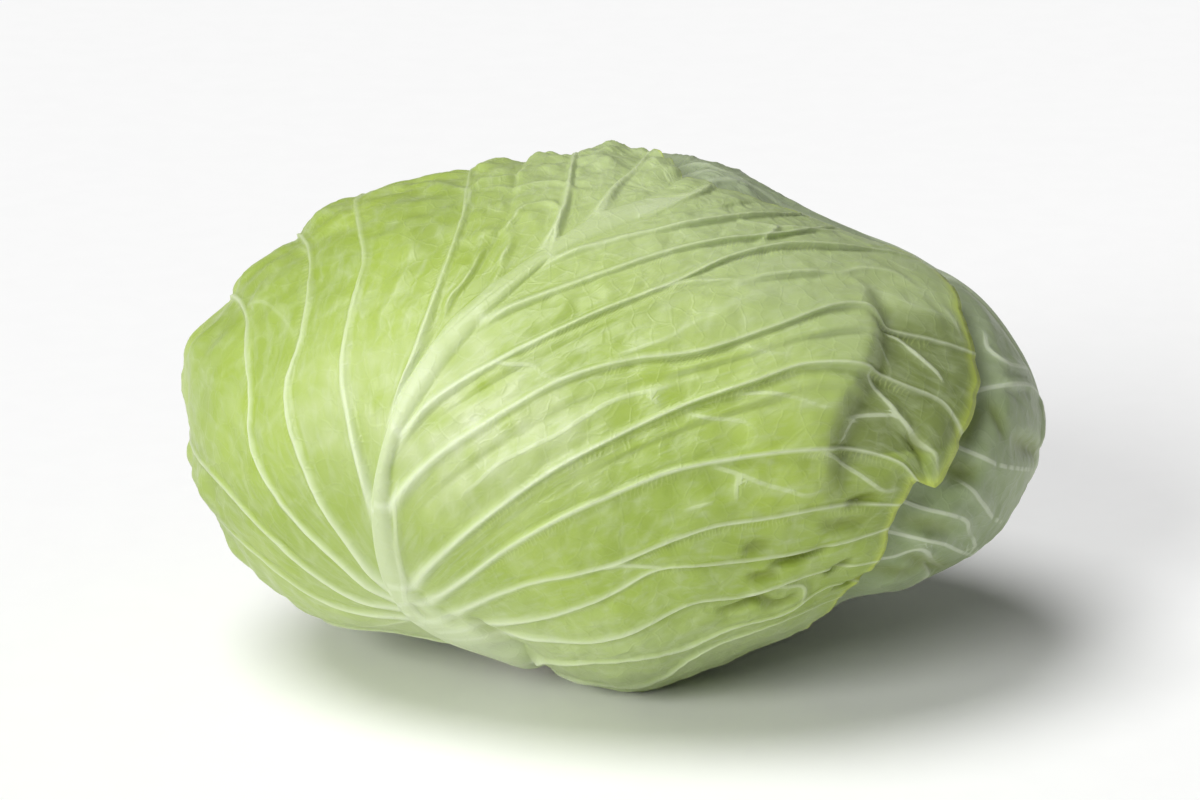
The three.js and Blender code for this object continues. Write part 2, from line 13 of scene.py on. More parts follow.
import bpy
import numpy as np
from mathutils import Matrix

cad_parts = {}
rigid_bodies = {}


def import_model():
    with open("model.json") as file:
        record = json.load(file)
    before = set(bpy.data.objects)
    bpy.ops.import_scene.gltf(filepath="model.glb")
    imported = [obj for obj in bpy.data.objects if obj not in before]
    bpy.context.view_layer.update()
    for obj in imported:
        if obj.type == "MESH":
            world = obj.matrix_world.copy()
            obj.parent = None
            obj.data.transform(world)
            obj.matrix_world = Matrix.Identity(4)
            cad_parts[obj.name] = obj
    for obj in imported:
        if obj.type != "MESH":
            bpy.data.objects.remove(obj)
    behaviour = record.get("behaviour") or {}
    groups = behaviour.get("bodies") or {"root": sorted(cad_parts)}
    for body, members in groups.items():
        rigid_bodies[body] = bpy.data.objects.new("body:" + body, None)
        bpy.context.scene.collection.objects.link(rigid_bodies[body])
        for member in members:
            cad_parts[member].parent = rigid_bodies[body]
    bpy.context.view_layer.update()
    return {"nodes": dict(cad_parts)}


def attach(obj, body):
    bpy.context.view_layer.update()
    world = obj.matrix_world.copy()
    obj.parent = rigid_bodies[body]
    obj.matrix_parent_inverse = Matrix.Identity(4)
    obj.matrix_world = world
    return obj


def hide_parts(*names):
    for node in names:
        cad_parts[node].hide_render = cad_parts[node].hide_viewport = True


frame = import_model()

Array = np.ndarray
Pixels = list[tuple[float, float]]
Ways = tuple[Array, ...] | list[Array]
Colour = tuple[float, float, float]
Socket = bpy.types.NodeSocket
LOG = logging.getLogger("cabbage")

MM = 0.001
VIEW_TILT = math.radians(18)
RIGHT = np.array([1.0, 0.0, 0.0])
AWAY = np.array([0.0, math.cos(VIEW_TILT), -math.sin(VIEW_TILT)])
UP = np.array([0.0, math.sin(VIEW_TILT), math.cos(VIEW_TILT)])
STEM_AXIS = np.array([-25.0, 2.0, -79.0]) / np.linalg.norm([-25.0, 2.0, -79.0])
STEM_CONE_DEG = 15.0
FOOT_AZIMUTH = -12.0
NOISE_MM = 100.0      # turns unit directions into the millimetres that the random fields work in
NEAR_RADIUS = 110.0   # a typical radius of the head, which turns small angles into millimetres
FAR_BESIDE = 4.0      # how far from every vein a vertex counts as, in half widths of a vein
ATTRIBUTES = ("pale", "vein", "beside", "link", "foot", "edge", "crease", "top", "comb", "past")


def unit(vectors: Array) -> Array:
    """Vectors scaled to length one."""
    return vectors / np.maximum(np.linalg.norm(vectors, axis=-1, keepdims=True), 1e-12)


FRONTWARD = unit(np.array([0.0, -1.0, 0.0]) + STEM_AXIS * STEM_AXIS[1])
RIGHTWARD = unit(np.cross(FRONTWARD, STEM_AXIS))


def smooth(low: float, high: float, value: Array) -> Array:
    """A smooth step from 0 at low to 1 at high."""
    share = np.clip((value - low) / (high - low), 0.0, 1.0)
    return share * share * (3.0 - 2.0 * share)


def bump(distance: Array, half_width: Array) -> Array:
    """A rounded ridge: 1 on its line, 0 from its half width on."""
    return 0.5 + 0.5 * np.cos(np.pi * np.clip(np.abs(distance) / half_width, 0.0, 1.0))


def swell_noise(points: Array, length: float, seed: int) -> Array:
    """A smooth random field over points, about -1 to 1.

    Args:
        points: Places, one a row.
        length: Distance over which the field changes.
        seed: Picks one field of many.

    Returns:
        The field's value at each point.
    """
    rng = np.random.default_rng(seed)
    total = np.zeros(len(points))
    waves = 22
    for _ in range(waves):
        way = unit(rng.normal(size=3)) * rng.uniform(0.6, 1.7) / length
        total += np.sin(points @ way * 2.0 * np.pi + rng.uniform(0.0, 2.0 * np.pi))
    return total / math.sqrt(waves / 2.0) * 0.6


def soft_max(a: Array, b: Array, power: float = 2.4) -> Array:
    """The greater of two heights, rounded where they meet."""
    return (a ** power + b ** power) ** (1 / power)


def arc_length(way: Array, directions: Array, radius: float = NEAR_RADIUS) -> Array:
    """Millimetres over the head from one direction to many."""
    return np.arccos(np.clip(directions @ way, -1.0, 1.0)) * radius


def line_through(directions: Array, steps: int) -> Array:
    """A smooth line through directions, as evenly spaced directions.

    Args:
        directions: The directions, in order.
        steps: Number of equal steps along the line.

    Returns:
        The steps + 1 directions.
    """
    given = np.asarray(directions, dtype=float)
    held = np.vstack([2 * given[0] - given[1], given, 2 * given[-1] - given[-2]])
    spans = np.sqrt(np.maximum(np.linalg.norm(np.diff(held, axis=0), axis=1), 1e-8))
    share = np.linspace(0.0, 1.0, 24, endpoint=False)[:, None]
    parts = []
    for i in range(len(given) - 1):
        a, b, c, d = held[i:i + 4]
        ab, bc, cd = spans[i:i + 3]
        start = ((b - a) / ab - (c - a) / (ab + bc) + (c - b) / bc) * bc
        end = ((c - b) / bc - (d - b) / (bc + cd) + (d - c) / cd) * bc
        square = -3 * b + 3 * c - 2 * start - end
        cube = 2 * b - 2 * c + start + end
        parts.append(b + start * share + square * share ** 2 + cube * share ** 3)
    dense = np.vstack([*parts, given[-1:]])
    along = np.concatenate([[0.0], np.cumsum(np.linalg.norm(np.diff(dense, axis=0), axis=1))])
    wanted = np.linspace(0.0, along[-1], steps + 1)
    return unit(np.stack([np.interp(wanted, along, dense[:, k]) for k in range(3)], axis=1))


def closest_on_line(spots: Array, line: Array) -> tuple[Array, Array, Array]:
    """The nearest place on a line of points, for each of many places.

    Args:
        spots: The places.
        line: The line's points, in order.

    Returns:
        Distance to the line, the nearest place's share of the way along it, and its segment.
    """
    start, step = line[:-1], np.diff(line, axis=0)
    rel = spots[:, None] - start[None]
    share = np.einsum("ijk,jk->ij", rel, step) / np.einsum("jk,jk->j", step, step)
    share = np.clip(share, 0.0, 1.0)
    apart = np.linalg.norm(rel - share[..., None] * step[None], axis=2)
    best = np.argmin(apart, axis=1)
    rows = np.arange(len(spots))
    return apart[rows, best], (best + share[rows, best]) / (len(line) - 1), best


@dataclass(frozen=True)
class HeadForm:
    """The smooth outer form of the head, as a radius over directions from its middle."""

    half_length: float = 139.0
    half_height: float = 87.0
    half_depth: float = 106.0
    centre_height: float = 83.0
    offset: tuple[float, float] = (0.5, -0.2)
    pixels_per_mm: float = 3.0
    view_distance: float = 1450.0
    centre_px: tuple[float, float] = (617.0, 422.0)
    picture_middle_px: tuple[float, float] = (600.0, 400.0)
    dimple_depth: float = 11.0
    dimple_radius: float = 16.0
    ray_passes: int = 12
    outline_px: tuple[tuple[float, float], ...] = (
        (195, 405), (199, 352), (224, 315), (257, 275), (303, 239), (350, 205), (417, 189),
        (480, 173), (540, 165), (607, 157), (670, 159), (734, 175), (791, 206), (857, 235),
        (918, 261), (973, 296), (1014, 348), (1031, 382), (1040, 420), (1034, 458), (1016, 501),
        (986, 540), (938, 570), (896, 587), (843, 596), (802, 620), (748, 642), (690, 668),
        (632, 688), (577, 677), (529, 658), (490, 645), (440, 637), (398, 629), (332, 618),
        (285, 590), (240, 544), (212, 499), (198, 446),
    )

    def middle(self) -> Array:
        """The head's middle, in the frame."""
        return np.array([self.offset[0], self.offset[1], self.centre_height])

    def outline_radius(self, angle: Array) -> Array:
        """Radius of the photograph's outline at angles in the view plane."""
        x = (np.array([p[0] for p in self.outline_px]) - self.centre_px[0]) / self.pixels_per_mm
        z = (self.centre_px[1] - np.array([p[1] for p in self.outline_px])) / self.pixels_per_mm
        order = np.argsort(np.arctan2(z, x))
        angles, radii = np.arctan2(z, x)[order], np.hypot(x, z)[order]
        count = len(angles)
        index = np.searchsorted(angles, angle, side="right")[..., None] + np.arange(-2, 2)
        near_angle = angles[index % count] + (index // count) * 2.0 * np.pi
        near_radius = radii[index % count]
        a0, a1, a2, a3 = np.moveaxis(near_angle, -1, 0)
        r0, r1, r2, r3 = np.moveaxis(near_radius, -1, 0)
        span = a2 - a1
        u = (angle - a1) / span
        slope1 = (r2 - r0) / (a2 - a0) * span
        slope2 = (r3 - r1) / (a3 - a1) * span
        return ((2 * u ** 3 - 3 * u ** 2 + 1) * r1 + (u ** 3 - 2 * u ** 2 + u) * slope1
                + (-2 * u ** 3 + 3 * u ** 2) * r2 + (u ** 3 - u ** 2) * slope2)

    def floor_reach(self, directions: Array) -> Array:
        """Distance from the middle down to the floor, along directions."""
        down = -directions[..., 2]
        return np.where(down > 1e-6, self.centre_height / np.maximum(down, 1e-6), 1e6)

    def radius(self, directions: Array) -> Array:
        """Radius of the head's smooth form, with its flat spot, along directions."""
        x, y, z = directions @ RIGHT, directions @ AWAY, directions @ UP
        in_plane = x * x + z * z
        angle = np.arctan2(z, x)
        oval = 1.0 / np.hypot(np.cos(angle) / self.half_length, np.sin(angle) / self.half_height)
        rim = oval + (self.outline_radius(angle) - oval) * in_plane ** 2
        radius = 1.0 / np.sqrt(in_plane / rim ** 2 + (y / self.half_depth) ** 2)
        from_stem = radius * np.arccos(np.clip(directions @ STEM_AXIS, -1.0, 1.0))
        dimple = self.dimple_depth * np.exp(-((from_stem / self.dimple_radius) ** 2) / 2.0)
        return np.minimum(radius - dimple, self.floor_reach(directions))

    def eye(self) -> Array:
        """The camera's place, from the head's middle."""
        across = (self.picture_middle_px[0] - self.centre_px[0]) / self.pixels_per_mm
        above = (self.centre_px[1] - self.picture_middle_px[1]) / self.pixels_per_mm
        return RIGHT * across + UP * above - AWAY * self.view_distance

    def seen(self, pixels: Pixels) -> Array:
        """Directions from the middle to what pixels of the photograph show.

        Args:
            pixels: Places in the photograph.

        Returns:
            One direction for each pixel.
        """
        px = np.asarray(pixels, dtype=float).reshape(-1, 2)
        target = (np.outer((px[:, 0] - self.centre_px[0]) / self.pixels_per_mm, RIGHT)
                  + np.outer((self.centre_px[1] - px[:, 1]) / self.pixels_per_mm, UP))
        eye = self.eye()
        ray = unit(target - eye)
        nearest = -ray @ eye
        hit = target
        for _ in range(self.ray_passes):
            inside = self.radius(unit(hit)) ** 2 - eye @ eye + nearest ** 2
            hit = eye + ray * (nearest - np.sqrt(np.maximum(inside, 0.0)))[:, None]
        return unit(hit)


def behind(around: float, beyond: float) -> Array:
    """A direction past the photograph's outline.

    Args:
        around: Angle round the picture, in degrees.
        beyond: Degrees behind the outline.

    Returns:
        The direction.
    """
    a, b = math.radians(around), math.radians(beyond)
    return (RIGHT * math.cos(a) + UP * math.sin(a)) * math.cos(b) + AWAY * math.sin(b)


def round_stem(azimuth: float, away: float) -> Array:
    """A direction at an angle round the stem and an angle away from its axis, in degrees."""
    a, b = math.radians(azimuth), math.radians(away)
    return (STEM_AXIS * math.cos(b)
            + (FRONTWARD * math.cos(a) + RIGHTWARD * math.sin(a)) * math.sin(b))


def round_base(start: float, end: float) -> list[Array]:
    """Directions along a leaf's base edge, round the stem's cone."""
    steps = max(2, round(abs(end - start) / 14))
    return [round_stem(start + (end - start) * i / steps, STEM_CONE_DEG) for i in range(steps + 1)]


class Side(Enum):
    """Which side of its midrib a half of a leaf lies on."""

    RIGHT = 1
    LEFT = -1


@dataclass(frozen=True)
class Line:
    """A line across half a leaf, from the midrib's edge to the margin."""

    through: Array
    rib: bool = True


@dataclass(frozen=True)
class Vein:
    """A vein or crease that runs over a leaf on a way of its own."""

    through: Array
    height: float
    half_width: float
    paleness: float


@dataclass(frozen=True)
class Fold:
    """A ridge where a leaf turns: high on its line, easing off one way and steep the other."""

    through: Array
    height: float
    reach: float
    steep: float
    drop: float
    drop_reach: float
    sets_in: tuple[float, float] = (0.0, 0.2)
    dies_out: tuple[float, float] = (0.56, 0.8)


@dataclass(frozen=True)
class Spot:
    """A round patch of a leaf: its middle, its reach in millimetres and how much it adds there."""

    way: Array
    reach: float
    amount: float = 1.0

    def share(self, directions: Array, radius: float = NEAR_RADIUS) -> Array:
        """How much the patch adds at directions."""
        return self.amount * np.exp(-(arc_length(self.way, directions, radius) / self.reach) ** 2)


@dataclass(frozen=True)
class LeafLook:
    """Heights and widths of a leaf's relief, in millimetres."""

    midrib_least: float = 0.6
    midrib_height: float = 3.2
    midrib_taper: float = 1.3
    rib_height: float = 1.0
    rib_height_at_margin: float = 0.5
    rib_start: float = 0.35
    rib_taper: float = 0.8
    rib_width: float = 3.0
    rib_width_at_margin: float = 1.2
    rib_climb: float = 9.0
    rib_flare: float = 1.8
    flare_reach: float = 8.0
    swell: float = 1.4
    left_swell: float = 1.0
    swell_rows: tuple[float, float] = (0.15, 0.9)
    wave: float = 1.4
    waves: float = 21.0
    wave_rows: tuple[float, float] = (0.75, 1.0)
    pucker: float = 0.5
    left_pucker: float = 0.9
    pucker_gap: float = 16.0
    pucker_rows: tuple[float, float] = (0.0, 0.25)
    left_pucker_rows: tuple[float, float] = (0.3, 0.7)
    toe: float = 2.2
    toe_most: float = 0.35
    flat_from: float = 2.0
    flat_span: float = 0.12
    flat_share: float = 0.85
    flat_rows: tuple[float, float] = (0.5, 0.95)
    calm: float = 0.0
    calm_rows: tuple[float, float] = (0.74, 0.9)
    tint_width: float = 0.42
    tint_width_inside: float = 0.7
    tint_flare: float = 1.3
    tint_reach: float = 12.0
    comb_middle: float = 1.8
    comb_width: float = 1.5


@dataclass
class Half:
    """One half of a leaf as a grid of directions, columns by rows, the midrib's strip first."""

    side: Side
    directions: Array
    ids: Array
    place: dict[str, Array] = field(default_factory=dict)


@dataclass
class LeafSheet:
    """A leaf as a fine sheet of directions, with its relief and what colours it."""

    form: HeadForm
    name: str
    midrib: Array
    sides: tuple[list[Line], list[Line]]
    tip: Array
    look: LeafLook
    rows: int = 96
    column_mm: float = 1.8
    strip_rows: int = 8
    blade: float = 1.1
    layer_step: float = 4.5
    covered_relief: float = 0.4
    floor_share: float = 0.8
    shelf: float = 3.0
    ramp: float = 17.0
    gather: float = 0.35
    fine_relief: float = 0.12
    fine_length: float = 5.0
    margin_fade: float = 0.7
    margin_from: float = 0.94
    foot_share: float = 0.35
    foot_reach: tuple[float, float] = (8.0, 30.0)
    vein_step: float = 1.5
    vein_sample: int = 6
    vein_reach: float = 2.2
    vein_slack: float = 6.0
    seed: int = 1
    veins: list[Vein] = field(default_factory=list)
    pale_and_highlight_spots: list[Spot] = field(default_factory=list)
    folds: list[Fold] = field(default_factory=list)
    quiet: Spot | None = None
    hollows: list[Spot] = field(default_factory=list)
    hollow_radius: float = 95.0
    cell_mm: float = 13.0
    cell_tries: int = 4000
    cell_cushion: float = 0.45
    cell_border: float = 0.25
    cushion_edge: float = 4.5
    border_width: float = 1.8
    border_tint: float = 0.14
    cells_at_once: int = 8192

    def __post_init__(self) -> None:
        """Lays out the two halves, the crest that joins them and the rim round both."""
        self.tip_line = line_through(self.tip, self.rows)
        crest = line_through(np.vstack([self.midrib, self.tip[:1]]), 900)
        self.count = 0
        self.tip_ids = self.take_ids(self.rows + 1)
        right = self.lay_half(self.sides[0], Side.RIGHT, crest, self.strip_rows)
        left = self.lay_half(self.sides[1], Side.LEFT, crest, self.strip_rows + 1)
        self.halves = (right, left)
        self.rim_ids = self.walk_rim()
        self.gather_vertices()

    def take_ids(self, number: int) -> Array:
        """The next vertex numbers."""
        ids = np.arange(self.count, self.count + number)
        self.count += number
        return ids

    def width_between(self, lower: Array, upper: Array) -> Array:
        """Distance between two lines over the head, row by row."""
        angle = np.arccos(np.clip(np.sum(lower * upper, axis=-1), -1.0, 1.0))
        return angle * self.form.radius(lower)

    def lay_half(self, lines: list[Line], side: Side, crest: Array, strip: int) -> Half:
        """Lays one half of the leaf out as a grid.

        Args:
            lines: The half's lines, from the base edge up.
            side: The side of the midrib.
            crest: The midrib's crest, as close directions.
            strip: Rows between the crest and the midrib's edge.

        Returns:
            The half, with each vertex's place on the leaf. A left half leaves out the crest's
            vertices.
        """
        cut = 0 if side is Side.RIGHT else 1
        drawn = [line_through(line.through, self.rows) for line in lines] + [self.tip_line]
        gaps = len(drawn) - 1
        widest = [float(np.max(self.width_between(drawn[i], drawn[i + 1]))) for i in range(gaps)]
        counts = [max(3, round(width / self.column_mm)) for width in widest]
        if sum(counts) % 2:
            counts[int(np.argmax(widest))] += 1
        across = []
        for gap, number in enumerate(counts):
            share = np.arange(number) / number
            across.extend(gap + share - self.gather * np.sin(2 * np.pi * share) / (2 * np.pi))
        across = np.array([*across, float(gaps)])
        lower = np.minimum(across.astype(int), gaps - 1)
        share = (across - lower)[:, None, None]
        stack = np.array(drawn)
        blade = unit(stack[lower] * (1 - share) + stack[lower + 1] * share)

        nearest = np.argmax(blade[:, 0] @ crest.T, axis=1).astype(float)
        nearest = np.maximum.accumulate(nearest)
        window = np.ones(9) / 9
        padded = np.concatenate([np.full(4, nearest[0]), nearest, np.full(4, nearest[-1])])
        along = np.convolve(padded, window, mode="valid") + np.arange(len(nearest)) * 1e-3
        along = (along - along[0]) / (along[-1] - along[0]) * (len(crest) - 1)
        number = np.arange(len(crest))
        feet = np.stack([np.interp(along, number, crest[:, k]) for k in range(3)], axis=1)
        step = (np.arange(strip) / strip)[None, :, None]
        inner = unit(unit(feet)[:, None] * (1 - step) + blade[:, :1] * step)
        grid = np.concatenate([inner, blade], axis=1)

        ids = np.empty(grid[:, cut:].shape[:2], dtype=int)
        ids[:-1] = self.take_ids(ids[:-1].size).reshape(ids[:-1].shape)
        ids[-1, strip - cut:] = self.tip_ids
        ids[-1, :strip - cut] = self.tip_ids[0]

        shape = grid.shape[:2]
        row = np.concatenate([np.zeros(strip), np.arange(self.rows + 1) / self.rows])
        rise = np.concatenate([np.arange(strip) / strip, np.ones(self.rows + 1)])
        length = np.linalg.norm(np.diff(blade, axis=1), axis=2).sum(axis=1) * NOISE_MM
        place = {
            "row": np.broadcast_to(row, shape).copy(),
            "rise": np.broadcast_to(rise, shape).copy(),
            "crest": np.broadcast_to((along / (len(crest) - 1))[:, None], shape).copy(),
            "across": np.broadcast_to((across - lower)[:, None], shape).copy(),
            "line": np.broadcast_to((across / gaps)[:, None], shape).copy(),
            "out": np.broadcast_to(length[:, None], shape) * row,
            "side": np.full(shape, float(side.value)),
        }
        place.update(self.rib_places(grid, lower, across, lines))
        return Half(side, grid[:, cut:], ids, {key: value[:, cut:] for key, value in place.items()})

    def rib_places(self, grid: Array, lower: Array, across: Array,
                   lines: list[Line]) -> dict[str, Array]:
        """Distance of each vertex of a half to the lines on both sides of it.

        Args:
            grid: The half's directions.
            lower: Index of the line below each column.
            across: Place of each column, in lines from the base.
            lines: The half's lines.

        Returns:
            Distances to the lines below and above, the gap's width, and which of them are ribs.
        """
        starts = np.array([int(np.argmin(np.abs(across - k))) for k in range(len(lines) + 1)])
        own = grid[starts]
        tangent = unit(np.gradient(own, axis=1))
        gap = own[1:] - own[:-1]
        width = np.linalg.norm(gap, axis=2)
        way = gap / np.maximum(width[..., None], 1e-9)
        radius = self.form.radius(own[:-1])
        below = np.linalg.norm(np.cross(way, tangent[:-1]), axis=2)
        above = np.linalg.norm(np.cross(way, tangent[1:]), axis=2)
        share = (across - lower)[:, None]
        ribs = np.array([*(float(line.rib) for line in lines), 1.0])
        shape = grid.shape[:2]
        return {
            "below": share * (width * below * radius)[lower],
            "above": (1 - share) * (width * above * radius)[lower],
            "gap": (width * radius)[lower],
            "rib_below": np.broadcast_to(ribs[lower][:, None], shape),
            "rib_above": np.broadcast_to(ribs[lower + 1][:, None], shape),
        }

    def walk_rim(self) -> Array:
        """Vertex numbers round the leaf's rim, from the crest's foot and up the right side."""
        right, left = self.halves
        return np.concatenate([
            right.ids[0], right.ids[1:, -1], left.ids[-2::-1, -1], left.ids[0, -2::-1],
        ])

    def gather_vertices(self) -> None:
        """Collects directions and places of all vertices by number."""
        self.directions = np.zeros((self.count, 3))
        self.place = {key: np.zeros(self.count) for key in self.halves[0].place}
        for half in self.halves:
            self.directions[half.ids.ravel()] = half.directions.reshape(-1, 3)
            for key, value in half.place.items():
                self.place[key][half.ids.ravel()] = value.ravel()
        self.directions[self.tip_ids] = self.tip_line
        self.rim = self.directions[self.rim_ids]
        self.middle = unit(self.directions.sum(axis=0))

    def cover(self, directions: Array) -> Array:
        """How far this leaf covers directions: 1 under it, 0 from the ramp's end on.

        Args:
            directions: Directions, one a row.

        Returns:
            The cover of each direction.
        """
        map_x = unit(np.cross([0.31, 0.17, 0.94], self.middle))
        map_y = np.cross(self.middle, map_x)

        def to_map(way: Array) -> Array:
            """Directions in a flat map round the leaf's middle."""
            x, y = way @ map_x, way @ map_y
            angle = np.arccos(np.clip(way @ self.middle, -1.0, 1.0))
            scale = angle / np.maximum(np.hypot(x, y), 1e-9)
            return np.stack([x * scale, y * scale], axis=-1)

        rim = to_map(self.rim[::3])
        spots = to_map(directions)
        inside = np.zeros(len(spots), dtype=bool)
        for (x1, y1), (x2, y2) in zip(rim, np.roll(rim, -1, axis=0)):
            if y1 != y2:
                crosses = (y1 > spots[:, 1]) != (y2 > spots[:, 1])
                inside ^= crosses & (spots[:, 0] < (x2 - x1) * (spots[:, 1] - y1) / (y2 - y1) + x1)
        result = inside.astype(float)
        outer = np.flatnonzero(~inside)
        closeness = directions[outer].astype(np.float32) @ self.rim.T.astype(np.float32)
        closest = np.max(closeness, axis=1)
        away = np.arccos(np.clip(closest, -1.0, 1.0)) * self.form.radius(directions[outer])
        result[outer] = 1.0 - smooth(self.shelf, self.ramp, away)
        return result

    def lively(self, share: float, length: float, offset: int) -> Array:
        """A factor near 1 that wanders by a share over a length, from a seed past the leaf's."""
        spots = self.directions * NOISE_MM
        return 1.0 + share * swell_noise(spots, length, self.seed + offset)

    def base_relief(self) -> dict[str, Array]:
        """Relief of the midrib, the ribs and the blade between them.

        Returns:
            Heights of the ribs and the blade, and paleness along the ribs.
        """
        look, at = self.look, self.place
        row, rise, out = at["row"], at["rise"], at["out"]
        start = look.rib_start * rise + (1.0 - look.rib_start) * smooth(0.0, look.rib_climb, out)
        height = start * (look.rib_height * (1 - row) ** look.rib_taper + look.rib_height_at_margin)
        height = height * self.lively(0.22, 26.0, 0)
        width = look.rib_width_at_margin
        width = width + (look.rib_width - look.rib_width_at_margin) * (1 - row) ** 1.4
        width = width + look.rib_flare * np.exp(-out / look.flare_reach)
        below = bump(at["below"], width) * at["rib_below"]
        above = bump(at["above"], width) * at["rib_above"]
        ridge = np.maximum(below, above)
        dome_height = look.midrib_height * (1 - at["crest"]) ** look.midrib_taper
        dome_height = look.midrib_least + dome_height
        dome = np.where(rise < 1.0, dome_height * (1.0 - rise ** 2.6) ** 0.8, 0.0)
        ribs = soft_max(height * ridge, dome)

        toe = np.clip(look.toe / np.maximum(at["gap"], 1e-6), 0.0, look.toe_most)
        across = at["across"]
        fall = 1.0 - smooth(0.0, 1.0, across / (1.0 - toe)) ** 0.8
        climb = smooth(0.0, 1.0, (across - (1.0 - toe)) / toe)
        terrace = np.where(across < 1.0 - toe, fall, climb)
        right = at["side"] > 0
        side_swell = np.where(right, 1.0, look.left_swell)
        high_up = smooth(look.flat_from, look.flat_from + look.flat_span, at["line"])
        snug = 1.0 - look.flat_share * right * high_up * smooth(*look.flat_rows, row)
        swell = look.swell * smooth(*look.swell_rows, row) * side_swell * terrace
        swell = swell * (1.0 - look.calm * smooth(*look.calm_rows, row))
        swell = swell * self.lively(0.35, 38.0, 1)
        wave = 0.5 + 0.5 * np.sin(at["line"] * look.waves + at["side"])
        wave = wave * self.lively(0.6, 20.0, 3)
        swell = swell + look.wave * smooth(*look.wave_rows, row) * wave
        pillow = np.sin(np.pi * across) ** 0.7 * np.clip(at["gap"] / look.pucker_gap, 0.0, 1.3)
        left_pucker = look.pucker + look.left_pucker * smooth(*look.left_pucker_rows, row)
        pucker = np.where(right, look.pucker, left_pucker) * pillow
        pucker = pucker * smooth(*look.pucker_rows, row)
        swell = swell + pucker * self.lively(0.5, 15.0, 2)
        swell = swell * snug

        tint_width = look.tint_width + look.tint_width_inside * (1 - row) ** 1.8
        tint_width = tint_width + look.tint_flare * np.exp(-out / look.tint_reach)
        near = np.minimum(np.where(at["rib_below"] > 0, at["below"], 1e3),
                          np.where(at["rib_above"] > 0, at["above"], 1e3))
        pale = np.exp(-(near / tint_width) ** 2) * (0.92 - 0.2 * row)
        on_midrib = np.where(rise < 1.0, 0.68 - 0.28 * rise ** 3, 0.0)
        pale = np.maximum(pale, on_midrib * (1.0 - 0.15 * at["crest"]))
        comb = np.exp(-((at["above"] - look.comb_middle) / look.comb_width) ** 2) * at["rib_above"]
        comb = comb * np.where(rise < 1.0, 0.0, 1.0)
        comb = comb * smooth(0.06, 0.2, row) * (1.0 - smooth(0.85, 1.0, row))
        return {"ribs": ribs, "swell": swell, "pale": pale, "comb": comb}

    def fold_relief(self) -> tuple[Array, Array]:
        """Heights of the folds, and how far vertices lie past them, at all vertices; the second
        masks the painted shade past the folds.
        """
        places = self.directions * self.form.radius(self.directions)[:, None]
        total = np.zeros(self.count)
        past = np.zeros(self.count)
        for fold in self.folds:
            line = line_through(fold.through, 60)
            line = line * self.form.radius(line)[:, None]
            near = np.flatnonzero(
                np.linalg.norm(places - line.mean(axis=0), axis=1) < fold.reach * 2.5 + 80.0)
            closest, along, best = closest_on_line(places[near], line)
            step = np.diff(line, axis=0)
            side = np.einsum("ij,ij->i", np.cross(step[best], places[near] - line[best]),
                             self.directions[near])
            left = fold.height * np.exp(-(closest / fold.reach) ** 2)
            fall = smooth(0.0, fold.steep, closest)
            low = fold.drop * fall * np.exp(-(closest / fold.drop_reach) ** 2)
            right = fold.height * (1 - fall) - low
            ends = smooth(*fold.sets_in, along) * (1.0 - smooth(*fold.dies_out, along))
            total[near] += np.where(side < 0, left, right) * ends
            # past masks a painted shade: the blade beyond the fold is painted darker there
            deep = smooth(0.08, 0.2, along) * (1.0 - 0.5 * smooth(0.5, 0.66, along))
            past[near] = np.maximum(past[near], np.where(side < 0, 0.0, fall * deep))
        return total, past

    def cell_relief(self) -> tuple[Array, Array]:
        """Relief of the cells between the finest veins: low cushions with thin raised borders.

        Returns:
            Heights, and paleness of the borders.
        """
        rng = np.random.default_rng(self.seed + 40)
        middles = unit(rng.normal(size=(self.cell_tries, 3)))
        kept: list[Array] = []
        least = math.cos(self.cell_mm * 0.75 / NEAR_RADIUS)
        for way in middles:
            if way @ self.middle > -0.2 and (not kept or np.max(np.array(kept) @ way) < least):
                kept.append(way)
        seeds = np.array(kept)
        spots = self.directions * NOISE_MM
        warp = np.stack([swell_noise(spots, 17.0, self.seed + 50 + k) for k in range(3)], axis=1)
        ways = unit(spots + warp * 3.0)
        height = np.zeros(self.count)
        tint = np.zeros(self.count)
        for start in range(0, self.count, self.cells_at_once):
            part = slice(start, start + self.cells_at_once)
            closeness = ways[part] @ seeds.T
            best = np.argpartition(-closeness, 1, axis=1)[:, :2]
            pair = np.take_along_axis(closeness, best, axis=1)
            apart = np.linalg.norm(seeds[best[:, 0]] - seeds[best[:, 1]], axis=1)
            border = np.abs(pair[:, 0] - pair[:, 1]) / apart * NEAR_RADIUS
            height[part] = (self.cell_cushion * smooth(0.0, self.cushion_edge, border)
                            + self.cell_border * bump(border, self.border_width))
            tint[part] = self.border_tint * np.exp(-(border / (self.border_width / 2.0)) ** 2)
        at = self.place
        shown = smooth(0.0, 2.5, np.minimum(at["below"], at["above"]))
        shown = smooth(0.03, 0.15, at["row"]) * shown
        return height * shown, tint * shown

